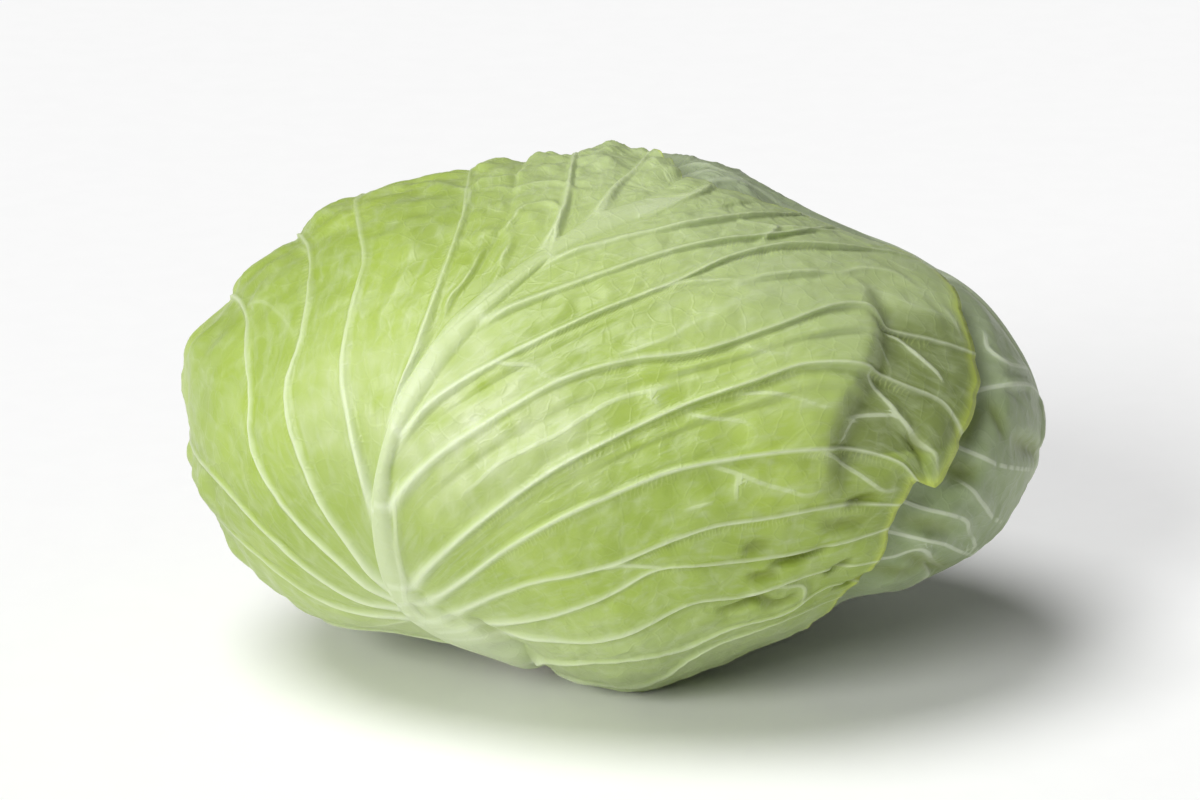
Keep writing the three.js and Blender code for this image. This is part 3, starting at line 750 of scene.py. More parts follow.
    def vein_relief(self) -> tuple[Array, Array, Array, Array]:
        """Relief and paleness of the veins and creases that run on ways of their own.

        Returns:
            Heights, depths and paleness of all vertices, and how far each is to the left of the
            nearest vein (negative to its right), in half widths of that vein.
        """
        places = self.directions * self.form.radius(self.directions)[:, None]
        height = np.zeros(self.count)
        depth = np.zeros(self.count)
        pale = np.zeros(self.count)
        beside = np.full(self.count, FAR_BESIDE)
        for vein in self.veins:
            length = np.linalg.norm(np.diff(vein.through, axis=0), axis=1).sum() * NOISE_MM
            steps = max(self.vein_sample, int(length / self.vein_step))
            line = line_through(vein.through, steps)
            line = line * self.form.radius(line)[:, None]
            reach = vein.half_width * self.vein_reach
            coarse = line[::self.vein_sample]
            gaps = places[:, None, :].astype(np.float32) - coarse[None].astype(np.float32)
            apart = np.min(np.einsum("ijk,ijk->ij", gaps, gaps), axis=1)
            near = np.flatnonzero(apart < (reach + self.vein_slack) ** 2)
            if not len(near):
                continue
            closest, along, segment = closest_on_line(places[near], line)
            away = closest / vein.half_width
            if vein.height >= 0:
                turned = np.cross(line[segment + 1] - line[segment], places[near] - line[segment])
                sides = np.where(np.einsum("ij,ij->i", turned, places[near]) < 0.0, -1.0, 1.0)
                nearer = away < np.abs(beside[near])
                beside[near[nearer]] = (sides * away)[nearer]
                ends = smooth(0.0, 0.12, along) * 0.5 + 0.5
                ends = ends * (1.0 - 0.6 * smooth(0.6, 1.0, along))
                raised = vein.height * ends * (1.0 - smooth(0.2, 1.0, away))
                height[near] = np.maximum(height[near], raised)
            else:
                ends = (4.0 * along * (1.0 - along)) ** 0.7
                sunk = -vein.height * ends * (1.0 - smooth(0.1, 1.0, away))
                depth[near] = np.maximum(depth[near], sunk)
            tint = (1.0 - smooth(0.18, 0.75, away)) * vein.paleness * ends
            pale[near] = np.maximum(pale[near], tint)
        return self.softened(height), self.softened(depth), self.softened(pale), beside

    def softened(self, values: Array) -> Array:
        """Values averaged with those of the next rows and columns, which keeps thin lines whole."""
        result = values.copy()
        for half in self.halves:
            grid = values[half.ids]
            padded = np.pad(grid, ((1, 1), (0, 0)), mode="edge")
            grid = 0.5 * grid + 0.25 * (padded[:-2] + padded[2:])
            padded = np.pad(grid, ((0, 0), (1, 1)), mode="edge")
            grid = 0.5 * grid + 0.25 * (padded[:, :-2] + padded[:, 2:])
            result[half.ids.ravel()] = grid.ravel()
        return result

    def surface(self, over: "list[LeafSheet]") -> dict[str, Array]:
        """Radii of the outer and inner faces, and the values that colour them.

        Args:
            over: The leaves that lie over this one, outermost first.

        Returns:
            Radii and values by name.
        """
        covers = [leaf.cover(self.directions) for leaf in over]
        total = np.sum(covers, axis=0) if covers else np.zeros(self.count)
        hidden = np.max(covers, axis=0) if covers else np.zeros(self.count)
        base = self.form.radius(self.directions) - self.layer_step * total
        parts = self.base_relief()
        height, depth, vein_pale, beside = self.vein_relief()
        if self.quiet is not None:
            away = arc_length(self.quiet.way, self.directions)
            own = smooth(self.quiet.reach * 0.6, self.quiet.reach, away)
            parts = {key: value * own for key, value in parts.items()}
        free = np.maximum(0.0, self.form.floor_reach(self.directions) - base) * self.floor_share
        fine = self.fine_relief * swell_noise(self.directions * NOISE_MM, self.fine_length,
                                              self.seed + 5)
        swell = (parts["swell"] + fine * smooth(0.0, 0.2, self.place["row"])) * (1 - hidden)
        folded, past = self.fold_relief()
        panels, borders = self.cell_relief()
        swell = swell + (folded + panels) * (1 - hidden)
        for hollow in self.hollows:
            swell = swell + hollow.share(self.directions, self.hollow_radius)
        lift = np.minimum(swell, free)
        ribs = soft_max(parts["ribs"], height)
        ribs = ribs + (np.minimum(ribs, self.covered_relief) - ribs) * hidden
        ribs = np.minimum(ribs, free - np.minimum(lift, free))
        ribs = ribs * (1.0 - self.margin_fade * smooth(self.margin_from, 1.0, self.place["row"]))
        outer = base + lift + ribs - depth * (1 - hidden)
        row, from_tip = self.place["row"], 1 - self.place["crest"]
        least, more = self.foot_reach
        foot = from_tip ** 1.2 * np.exp(-(self.place["out"] / (least + more * from_tip ** 2)) ** 2)
        blotch = self.lively(0.45, 9.0, 7)
        # Pale patches round the lower midrib: partly the leaf's pale base, partly a painted
        # highlight; they go into the foot value
        pale_and_highlight = np.zeros(self.count)
        for spot in self.pale_and_highlight_spots:
            pale_and_highlight = np.maximum(pale_and_highlight, spot.share(self.directions) * blotch)
        foot = np.maximum(foot * self.foot_share, pale_and_highlight)
        x, z = self.directions[:, 0], self.directions[:, 2]
        upper = 1.0 - 0.5 * smooth(0.2, 0.75, z)
        return {
            "outer": outer,
            "inner": np.minimum(base + lift, outer) - self.blade,
            "pale": np.clip(parts["pale"], 0.0, 1.0) * upper,
            "vein": np.clip(vein_pale * upper ** 1.6, 0.0, 1.0),
            "beside": beside,
            "link": np.clip(borders * (1 - hidden), 0.0, 1.0),
            "past": past,
            "foot": foot,
            "edge": smooth(0.975, 1.0, row),
            # Painted shade in the sunk creases and pockets, darker with their depth
            "crease": np.clip(depth * 0.5, 0.0, 1.0),
            # top masks the bloom on faces turned up and to the right, partly the waxy bloom and
            # partly a painted sheen of the light glancing off them; it also greys the blade towards
            # the bottom
            "top": np.maximum(smooth(0.3, 0.8, z * 0.8 + x * 0.45), 0.7 * smooth(0.25, 0.6, -z)),
            "comb": parts["comb"],
        }

    def grid_faces(self, half: Half, step: int) -> list[tuple[int, ...]]:
        """Faces of a half's grid, taking every step-th row and column."""
        ids = half.ids[::step, ::step]
        corners = (ids[:-1, :-1], ids[:-1, 1:], ids[1:, 1:], ids[1:, :-1])
        quads = np.stack(corners, axis=-1).reshape(-1, 4)
        if half.side is Side.LEFT:
            quads = quads[:, ::-1]
        faces = []
        for quad in quads.tolist():
            face = tuple(v for i, v in enumerate(quad) if v != quad[i - 1])
            if len(face) > 2:
                faces.append(face)
        return faces

    def crest_faces(self, step: int) -> list[tuple[int, ...]]:
        """Triangles between the crest and the left half's first row, at every step-th vertex."""
        crest = self.halves[0].ids[::step, 0].tolist()
        edge = self.halves[1].ids[::step, 0].tolist()
        spots = self.directions
        faces = []
        i = j = 0
        while i < len(crest) - 2 or j < len(edge) - 2:
            next_i, next_j = min(i + 1, len(crest) - 2), min(j + 1, len(edge) - 2)
            via_crest = float(np.sum((spots[crest[next_i]] - spots[edge[j]]) ** 2))
            via_edge = float(np.sum((spots[edge[next_j]] - spots[crest[i]]) ** 2))
            if j >= len(edge) - 2 or (i < len(crest) - 2 and via_crest < via_edge):
                faces.append((crest[i], crest[i + 1], edge[j]))
                i += 1
            else:
                faces.append((crest[i], edge[j + 1], edge[j]))
                j += 1
        faces.append((crest[i], crest[i + 1], edge[j]))
        return faces

    def rim_faces(self, inner_of: dict[int, int]) -> list[tuple[int, ...]]:
        """The margin's wall, between the outer face and the inner one that has fewer vertices."""
        loop = self.rim_ids.tolist()
        faces = []
        held = [i for i, vertex in enumerate(loop) if vertex in inner_of]
        for k, first in enumerate(held):
            last = held[(k + 1) % len(held)]
            between = loop[first + 1:last] if last > first else loop[first + 1:]
            a, b = loop[first], loop[last]
            if between:
                mid = between[0]
                faces += [(mid, a, inner_of[a]), (mid, inner_of[a], inner_of[b]),
                          (b, mid, inner_of[b])]
            else:
                faces.append((b, a, inner_of[a], inner_of[b]))
        return faces

    def build(self, over: "list[LeafSheet]", finish: "LeafFinish", slot: str) -> bpy.types.Object:
        """Builds the leaf's mesh, dresses it and puts it in place of the solid model's leaf.

        Args:
            over: The leaves that lie over this one.
            finish: The leaf's finish.
            slot: The record's material slot; not used.

        Returns:
            The finished object.
        """
        values = self.surface(over)
        middle = self.form.middle()
        outer_faces, inner_faces = (
            [face for half in self.halves for face in self.grid_faces(half, step)]
            + self.crest_faces(step) for step in (1, 2))
        used = sorted({vertex for face in inner_faces for vertex in face})
        inner_of = {vertex: self.count + i for i, vertex in enumerate(used)}
        faces = outer_faces + [tuple(inner_of[v] for v in reversed(face)) for face in inner_faces]
        faces += self.rim_faces(inner_of)
        outer = self.directions * values["outer"][:, None] + middle
        inner = self.directions[used] * values["inner"][used][:, None] + middle
        points = np.vstack([outer, inner]) * MM
        piece = mesh_object(self.name + "_leaf", points, faces)
        for key in ATTRIBUTES:
            data = np.concatenate([values[key], values[key][used]])
            attribute = piece.data.attributes.new(key, "FLOAT", "POINT")
            attribute.data.foreach_set("value", data.astype(np.float32))
        self.unwrap(piece, used)
        piece.data.materials.append(finish.material())
        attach(piece, "root")
        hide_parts(self.name)
        return piece

    def unwrap(self, piece: bpy.types.Object, used: list[int]) -> None:
        """Gives the leaf a UV map, along and across its ribs, with its inner face beside it."""
        u = 0.25 + 0.24 * self.place["side"] * (0.04 + 0.96 * self.place["line"])
        v = 0.02 + 0.96 * (0.06 * self.place["rise"] + 0.94 * self.place["row"])
        spots = np.stack([np.concatenate([u, u[used] + 0.5]), np.concatenate([v, v[used]])], axis=1)
        layer = piece.data.uv_layers.new(name="leaf")
        index = np.empty(len(piece.data.loops), dtype=np.int32)
        piece.data.loops.foreach_get("vertex_index", index)
        layer.data.foreach_set("uv", spots[index].astype(np.float32).ravel())


def mesh_object(name: str, points: Array, faces: list[tuple[int, ...]]) -> bpy.types.Object:
    """A smooth-shaded mesh object at the origin.

    Args:
        name: The object's name.
        points: Vertex places, in metres.
        faces: Vertex numbers of each face, seen from outside.

    Returns:
        The object, in the scene.
    """
    mesh = bpy.data.meshes.new(name)
    mesh.from_pydata(points.tolist(), [], faces)
    mesh.polygons.foreach_set("use_smooth", np.ones(len(mesh.polygons), dtype=bool))
    mesh.update()
    piece = bpy.data.objects.new(name, mesh)
    bpy.context.scene.collection.objects.link(piece)
    return piece


@dataclass(frozen=True)
class FrontLeafPlan:
    """The outermost leaf, from the photograph: it covers nearly all that the camera sees."""

    form: HeadForm

    def seen(self, pixels: Pixels) -> list[Array]:
        """Directions to pixels, as a list."""
        return list(self.form.seen(pixels)) if pixels else []

    def rib(self, pixels: Pixels, hidden: Ways = (), start: Ways = ()) -> Line:
        """A rib through pixels, with a hidden start and end."""
        return Line(np.array([*start, *self.seen(pixels), *hidden]))

    def plain(self, pixels: Pixels, hidden: Ways = ()) -> Line:
        """A line that only shapes the blade."""
        return Line(np.array([*self.seen(pixels), *hidden]), rib=False)

    def spot(self, pixel: tuple[float, float], reach: float, amount: float) -> Spot:
        """A patch round a pixel."""
        return Spot(self.form.seen([pixel])[0], reach, amount)

    def midrib(self) -> Array:
        """The midrib's crest, from its foot."""
        foot = [round_stem(FOOT_AZIMUTH, STEM_CONE_DEG),
                round_stem(FOOT_AZIMUTH - 4, STEM_CONE_DEG + 15)]
        return np.array(foot + self.seen([
            (456, 632), (420, 611), (399, 590), (386, 560), (380, 523), (380, 490), (387, 455),
            (403, 405), (434, 352), (482, 306), (534, 266), (579, 233), (629, 211), (664, 203)]))

    def right(self) -> list[Line]:
        """Lines of the right half, from the base edge up."""
        base = Line(np.array([*round_base(FOOT_AZIMUTH + 16, FOOT_AZIMUTH + 62), round_stem(58, 22),
                              round_stem(66, 36), round_stem(70, 54)]), rib=False)
        return [
            base,
            self.rib([(655, 676), (699, 647), (753, 626), (802, 608), (838, 594)], [],
                     [round_stem(FOOT_AZIMUTH + 13, STEM_CONE_DEG + 7), round_stem(14, 34)]),
            self.rib([(577, 660), (629, 657), (680, 645), (731, 624), (781, 608), (824, 585),
                      (858, 581)], [],
                     [round_stem(FOOT_AZIMUTH + 5, STEM_CONE_DEG + 20), round_stem(-3, 44)]),
            self.rib([(506, 633), (551, 638), (600, 638), (645, 623), (692, 600), (739, 593),
                      (790, 576), (835, 566), (877, 560)]),
            self.rib([(484, 624), (520, 619), (567, 609), (614, 590), (655, 567), (711, 560),
                      (756, 556), (802, 550), (848, 538), (886, 527)]),
            self.rib([(453, 615), (475, 603), (522, 584), (576, 572), (614, 562), (669, 538),
                      (711, 523), (762, 515), (812, 506), (861, 503), (897, 504)]),
            self.rib([(430, 601), (463, 580), (504, 550), (555, 520), (609, 495), (669, 470),
                      (734, 456), (798, 448), (861, 450), (897, 462), (914, 480)]),
            self.plain([(422, 594), (450, 567), (504, 525), (565, 483), (625, 451), (690, 423),
                        (752, 402), (800, 389), (850, 389), (887, 408), (916, 444), (931, 487)]),
            self.rib([(413, 586), (441, 556), (487, 517), (551, 471), (612, 438), (680, 406),
                      (748, 382), (798, 366), (861, 369), (907, 386), (942, 402), (960, 434)]),
            self.plain([(399, 550), (420, 512), (470, 467), (537, 424), (605, 392), (668, 374),
                        (735, 357), (800, 338), (850, 332), (892, 339), (940, 371), (976, 389)]),
            self.rib([(391, 507), (435, 459), (494, 419), (563, 380), (629, 361), (696, 353),
                      (764, 331), (829, 309), (858, 310), (889, 328), (935, 340), (975, 354)]),
            self.plain([(392, 468), (425, 430), (487, 388), (560, 348), (640, 310), (718, 284),
                        (795, 275), (862, 272), (911, 287), (942, 302), (958, 311)]),
            self.rib([(403, 433), (438, 399), (520, 350), (595, 315), (666, 287), (734, 257),
                      (785, 247), (840, 249), (885, 254), (918, 263)]),
            self.rib([(484, 320), (537, 299), (614, 271), (676, 251), (717, 243), (780, 236),
                      (838, 229)]),
            self.rib([(552, 259), (614, 242), (678, 228), (720, 221), (770, 216), (806, 216)]),
            self.plain([(640, 218), (676, 213), (716, 207), (762, 202)]),
        ]

    def left(self) -> list[Line]:
        """Lines of the left half, from the base edge up."""
        base = Line(np.array([*round_base(FOOT_AZIMUTH - 16, FOOT_AZIMUTH - 76),
                              round_stem(-102, 21), round_stem(-116, 30)]), rib=False)
        return [
            base,
            self.rib([], [round_stem(-48, 37), round_stem(-70, 41), round_stem(-94, 42),
                          round_stem(-119, 41)],
                     [round_stem(FOOT_AZIMUTH - 17, STEM_CONE_DEG + 15)]),
            self.rib([(411, 618), (363, 611), (311, 591), (263, 555), (226, 508)],
                     [behind(190, 12), behind(190, 30)]),
            self.rib([(403, 609), (363, 600), (311, 568), (266, 528), (232, 484), (216, 445)],
                     [behind(177, 10), behind(178, 34)]),
            self.rib([(397, 600), (337, 557), (287, 507), (256, 445), (254, 379), (252, 316)],
                     [behind(162, 0), behind(166, 20), behind(168, 38)]),
            self.rib([(390, 588), (348, 539), (304, 460), (290, 393), (303, 342), (313, 290),
                      (313, 250)], [behind(150, 8), behind(152, 24), behind(153, 38)]),
            self.rib([(373, 508), (363, 469), (351, 417), (345, 365), (355, 306), (367, 257)],
                     [behind(138, 0), behind(138, 18), behind(137, 34)]),
            self.rib([(399, 399), (420, 345), (442, 281), (465, 219)],
                     [behind(119, 0), behind(119, 14), behind(118, 28)]),
            self.plain([(450, 320), (484, 262), (508, 215)],
                       [behind(109, 0), behind(110, 12), behind(110, 23)]),
            self.rib([(545, 248), (560, 222), (568, 196)],
                     [behind(99, -2), behind(101, 8), behind(103, 18)]),
            self.rib([(599, 213), (617, 189), (634, 174)], [behind(83, -12)]),
            self.plain([(645, 199), (664, 190), (682, 180)]),
        ]

    def veins(self) -> list[Vein]:
        """Side veins, links between ribs, folds and creases, by their places in the photograph."""
        strong = [
            [(410, 620), (389, 623), (372, 624), (355, 622), (337, 619)],
            [(436, 616), (427, 612), (412, 597), (407, 580), (401, 558), (398, 541), (396, 515),
             (398, 480)],
            [(551, 252), (558, 233), (561, 216), (555, 206), (543, 205), (525, 210), (515, 221),
             (504, 231), (482, 236), (463, 242)],
            [(506, 232), (511, 238), (510, 249), (504, 257), (501, 271), (494, 283), (482, 301)],
            [(465, 219), (468, 211), (472, 202), (472, 193), (466, 192), (447, 190), (435, 190)],
            [(472, 193), (487, 187), (504, 183), (517, 179), (527, 174), (532, 170)],
            [(482, 192), (499, 191), (517, 191), (537, 187), (555, 185), (571, 188), (569, 198)],
            [(741, 222), (757, 226), (775, 229), (791, 230), (805, 231), (826, 232), (836, 232)],
            [(775, 229), (769, 235), (764, 239), (761, 244), (760, 248)],
            [(640, 298), (662, 289), (690, 283), (718, 283), (746, 283), (760, 279), (777, 277),
             (795, 275), (817, 275), (838, 275), (855, 271), (878, 273), (895, 278), (911, 288),
             (930, 295), (942, 308)],
            [(732, 284), (739, 289), (750, 295), (764, 300)],
            [(615, 358), (643, 348), (669, 339), (691, 325), (715, 316), (739, 302), (767, 291),
             (800, 291)],
            [(845, 279), (854, 284), (860, 289), (854, 299), (848, 303)],
            [(861, 290), (881, 293), (901, 301), (918, 309), (935, 313), (944, 313)],
            [(889, 333), (901, 339), (915, 352), (929, 365), (941, 379), (942, 388), (938, 393)],
            [(492, 362), (511, 365), (534, 366), (543, 375), (560, 379), (567, 378)],
            [(463, 495), (480, 481), (499, 464), (527, 449), (555, 436), (582, 419), (605, 405),
             (626, 397), (654, 390), (690, 381), (710, 379)],
            [(647, 396), (654, 401), (660, 408)],
            [(862, 370), (869, 379), (887, 401), (904, 422), (919, 442), (930, 455), (932, 476)],
            [(812, 450), (836, 459), (857, 473), (880, 490), (895, 488)],
            [(710, 465), (734, 472), (757, 481), (783, 488), (797, 492), (819, 485)],
            [(605, 567), (617, 564), (638, 564), (660, 564)],
            [(744, 591), (760, 587), (785, 584), (800, 584), (799, 599)],
        ]
        fine = [
            [(484, 249), (475, 268), (461, 288), (452, 297), (446, 316), (446, 330)],
            [(410, 226), (415, 247), (414, 257), (405, 278), (393, 301), (384, 316), (384, 337),
             (387, 372)],
            [(371, 244), (393, 236), (420, 223), (441, 227), (456, 238)],
            [(255, 307), (270, 304), (284, 315), (294, 330), (300, 348)],
            [(314, 257), (303, 249), (297, 249)],
            [(734, 395), (760, 394), (788, 399), (812, 407), (833, 412), (850, 420)],
            [(852, 422), (848, 431), (843, 440), (838, 444)],
            [(852, 417), (871, 415), (899, 415)],
            [(687, 414), (705, 418), (739, 422), (750, 431), (746, 445), (743, 450)],
            [(736, 345), (760, 355), (790, 359), (790, 367)],
            [(859, 334), (869, 341), (885, 356), (891, 372), (888, 382)],
            [(734, 472), (731, 486), (731, 500)],
            [(680, 509), (699, 502), (713, 499)],
        ]
        # Sunk creases; the colour there is also darkened as painted shade
        creases = [
            [(766, 566), (786, 560), (799, 556), (812, 551), (830, 545)],
            [(714, 609), (733, 606), (746, 601), (754, 597), (763, 598), (773, 601), (783, 598),
             (797, 589)],
            [(815, 521), (831, 524), (844, 522), (868, 521)],
            [(738, 549), (756, 544), (774, 540)],
            [(745, 577), (763, 574), (779, 572)],
            [(844, 502), (860, 499), (879, 494)],
            [(833, 589), (841, 584), (852, 581), (862, 576), (868, 571)],
            [(823, 573), (839, 564), (852, 556)],
            [(907, 434), (917, 442), (920, 448), (920, 464)],
            [(472, 618), (483, 625), (495, 632), (506, 638)],
        ]
        roots = [[(414, 598), (424, 607), (436, 614)], [(450, 613), (457, 619), (463, 622)]]
        corner = [(940, 305), (944, 311), (951, 318), (956, 328), (960, 338), (964, 347)]
        kinds = ((strong, 1.2, 1.7, 1.5), (fine, 0.8, 1.5, 1.2), (creases, -3.2, 2.4, 0.0),
                 (roots, -1.5, 2.0, 0.0), ([corner], 1.5, 2.8, 0.8))
        return [Vein(self.form.seen(way), height, half_width, paleness)
                for ways, height, half_width, paleness in kinds for way in ways]

    def folds(self) -> list[Fold]:
        """Where the leaf turns away towards its right end."""
        turn = [(836, 268), (850, 300), (858, 332), (842, 372), (826, 402), (815, 432), (812, 470),
                (822, 510), (840, 540), (866, 566)]
        return [Fold(self.form.seen(turn), height=4.2, reach=42.0, steep=13.0, drop=3.1,
                     drop_reach=40.0)]

    def sheet(self) -> LeafSheet:
        """The leaf's sheet."""
        look = LeafLook(midrib_height=4.0, rib_height=1.35, rib_height_at_margin=0.75,
                        rib_width=2.5, rib_width_at_margin=1.0, swell=2.2, left_swell=0.5,
                        wave=1.0, waves=26.0, pucker=0.6, left_pucker=1.6, flat_from=0.72,
                        calm=0.6)
        return LeafSheet(form=self.form, name="leaf_front", midrib=self.midrib(),
                         sides=(self.right(), self.left()),
                         tip=self.form.seen([(684, 199), (699, 194), (713, 188)]),
                         look=look, rows=132, column_mm=1.6, gather=0.2, seed=3,
                         veins=self.veins(), folds=self.folds(),
                         # Pale patches, partly the pale base and partly a painted highlight
                         pale_and_highlight_spots=[self.spot((455, 425), 30.0, 0.6),
                                     self.spot((345, 400), 20.0, 0.4),
                                     self.spot((540, 430), 18.0, 0.5)],
                         hollows=[self.spot((514, 648), 8.0, -3.2)])


@dataclass(frozen=True)
class WrappingLeafPlan:
    """A wrapping leaf, drawn in a flat map round its own middle, in degrees.

    On the map x is to the side, and y is from the stem, at -87, towards the crown, at 93.
    """

    form: HeadForm
    name: str
    azimuth: float
    width: float
    reach: float
    bend: float
    seed: int
    veins: int = 4
    rows: int = 80
    column_mm: float = 2.4
    lower_reach: float = 84.0
    first_vein_y: float = -64.0
    last_vein_drop: float = 18.0
    vein_turns: tuple[float, float] = (-34.0, 78.0)
    midrib_sides: tuple[float, float] = (3.2, 1.2)
    bend_from: float = -72.0
    bend_span: float = 160.0

    def on_map(self, x: float, y: float) -> Array:
        """The direction at a place on the leaf's map."""
        middle = round_stem(self.azimuth, 87)
        upward = unit(-STEM_AXIS + middle * (STEM_AXIS @ middle))
        sideways = -np.cross(middle, upward)
        away = max(math.hypot(x, y), 1e-9)
        turn = math.radians(away)
        return middle * math.cos(turn) + (sideways * x + upward * y) * math.sin(turn) / away

    def rib_x(self, y: float) -> float:
        """The midrib's bend to the side at a height on the map."""
        return self.bend * math.sin((y - self.bend_from) / self.bend_span * math.pi)

    def margin(self, turn: float) -> tuple[float, float]:
        """The margin's place on the map, at an angle round it."""
        side, up = math.cos(math.radians(turn)) * self.width, math.sin(math.radians(turn))
        return side, up * (self.lower_reach if up < 0 else self.reach)

    def half(self, sign: int) -> list[Line]:
        """Lines of one half, from the base edge up."""
        azimuth = self.azimuth
        base = [*round_base(azimuth + sign * 14, azimuth + sign * 56),
                *(round_stem(azimuth + sign * turn, away)
                  for turn, away in ((70, 19), (82, 28), (90, 38)))]
        lines = [Line(np.array(base), rib=False)]
        low, high = self.vein_turns
        near, far = self.midrib_sides
        for vein in range(self.veins):
            share = vein / (self.veins - 1)
            rise = self.reach - self.last_vein_drop - self.first_vein_y
            start_y = self.first_vein_y + rise * share ** 1.35
            end_x, end_y = self.margin(low + (high - low) * share ** 0.9)
            start_x = self.rib_x(start_y) + sign * (near + (far - near) * share)
            steps = [(0.0, 0.0), (0.22, 0.34), (0.5, 0.66), (0.8, 0.92), (1.0, 1.0)]
            lines.append(Line(np.array([
                self.on_map(start_x + (sign * end_x - start_x) * x, start_y + (end_y - start_y) * y)
                for x, y in steps])))
        return lines

    def sheet(self, look: LeafLook) -> LeafSheet:
        """The leaf's sheet."""
        heights = [-50, -25, 0, 25, 50, self.reach - 22]
        ends = [self.reach - 12, self.reach - 6, self.reach]
        midrib, tip = ([self.on_map(self.rib_x(y), y) for y in way] for way in (heights, ends))
        midrib.insert(0, round_stem(self.azimuth, STEM_CONE_DEG))
        made = LeafSheet(form=self.form, name=self.name, midrib=np.array(midrib),
                         sides=(self.half(1), self.half(-1)), tip=np.array(tip), look=look,
                         rows=self.rows, column_mm=self.column_mm, seed=self.seed)
        made.veins.extend(side_veins(made))
        return made


def dress_right_end(form: HeadForm, sheet: LeafSheet) -> None:
    """Gives the second leaf the ribs and dark pockets that show past the outermost one; the pockets
    are sunk and darkened with painted shade.

    Args:
        form: The head's form.
        sheet: The second leaf, whose own ribs and veins fade there.
    """
    ribs = [
        [(938, 436), (956, 440), (973, 451), (991, 463), (1015, 469), (1030, 472)],
        [(930, 462), (942, 468), (959, 477), (970, 489), (981, 505), (991, 518), (1004, 522)],
        [(890, 496), (903, 500), (930, 510), (948, 514), (963, 520), (966, 530), (970, 556)],
        [(884, 534), (902, 536), (938, 542), (956, 550), (974, 556)],
        [(1011, 400), (1010, 431), (1014, 444), (1021, 448), (1031, 460)],
        [(966, 397), (978, 395), (991, 388), (1010, 387), (1026, 399), (1036, 418)],
        [(985, 330), (991, 350), (1000, 362), (1010, 372)],
        [(876, 568), (896, 560), (916, 549), (932, 561), (944, 568)],
    ]
    # Sunk pockets; the colour there is also darkened as painted shade
    pockets = [
        ([(986, 404), (978, 418), (972, 430), (960, 438)], -4.2, 5.4),
        ([(950, 458), (962, 470), (980, 474)], -3.6, 4.4),
        ([(1004, 440), (1010, 454), (1016, 464)], -3.0, 4.0),
        ([(992, 398), (998, 420), (1002, 440)], -2.0, 4.4),
        ([(905, 520), (930, 525), (955, 530)], -2.0, 4.4),
        ([(905, 553), (925, 562), (945, 569)], -3.2, 3.8),
        ([(874, 573), (895, 572), (918, 571)], -2.6, 3.8),
    ]
    sheet.quiet = Spot(form.seen([(985, 450)])[0], 44.0)
    nearest = math.cos(sheet.quiet.reach / NEAR_RADIUS)
    sheet.veins = [vein for vein in sheet.veins if np.max(vein.through @ sheet.quiet.way) < nearest]
    sheet.veins += [Vein(form.seen(way), 2.0, 1.7, 1.8) for way in ribs]
    sheet.veins += [Vein(form.seen(way), depth, width, 0.0) for way, depth, width in pockets]


def side_veins(sheet: LeafSheet) -> list[Vein]:
    """Side veins that link the ribs of a leaf, laid out at random from its seed.

    Args:
        sheet: The leaf.

    Returns:
        The veins.
    """
    rng = np.random.default_rng(sheet.seed)
    made = []
    for half in sheet.halves:
        line_at = half.place["line"][:, -1]
        lines = len(sheet.sides[0 if half.side is Side.RIGHT else 1])
        strip = half.directions.shape[1] - sheet.rows - 1
        for gap in range(1, lines):
            row = rng.uniform(0.06, 0.14)
            upward = True
            while row < 0.86:
                lean = rng.uniform(0.08, 0.17)
                ways = []
                for share in (0.0, 0.3, 0.65, 1.0):
                    place = share if upward else 1.0 - share
                    column = int(np.argmin(np.abs(line_at - (gap + place) / lines)))
                    at = row + lean * share ** 1.3 + rng.normal(0.0, 0.006)
                    ways.append(half.directions[column, strip + int(min(at, 0.99) * sheet.rows)])
                height, half_width = rng.uniform(0.35, 0.65), rng.uniform(1.2, 1.7)
                made.append(Vein(np.array(ways), height, half_width, 0.4))
                row += rng.uniform(0.09, 0.17)
                upward = not upward
    return made


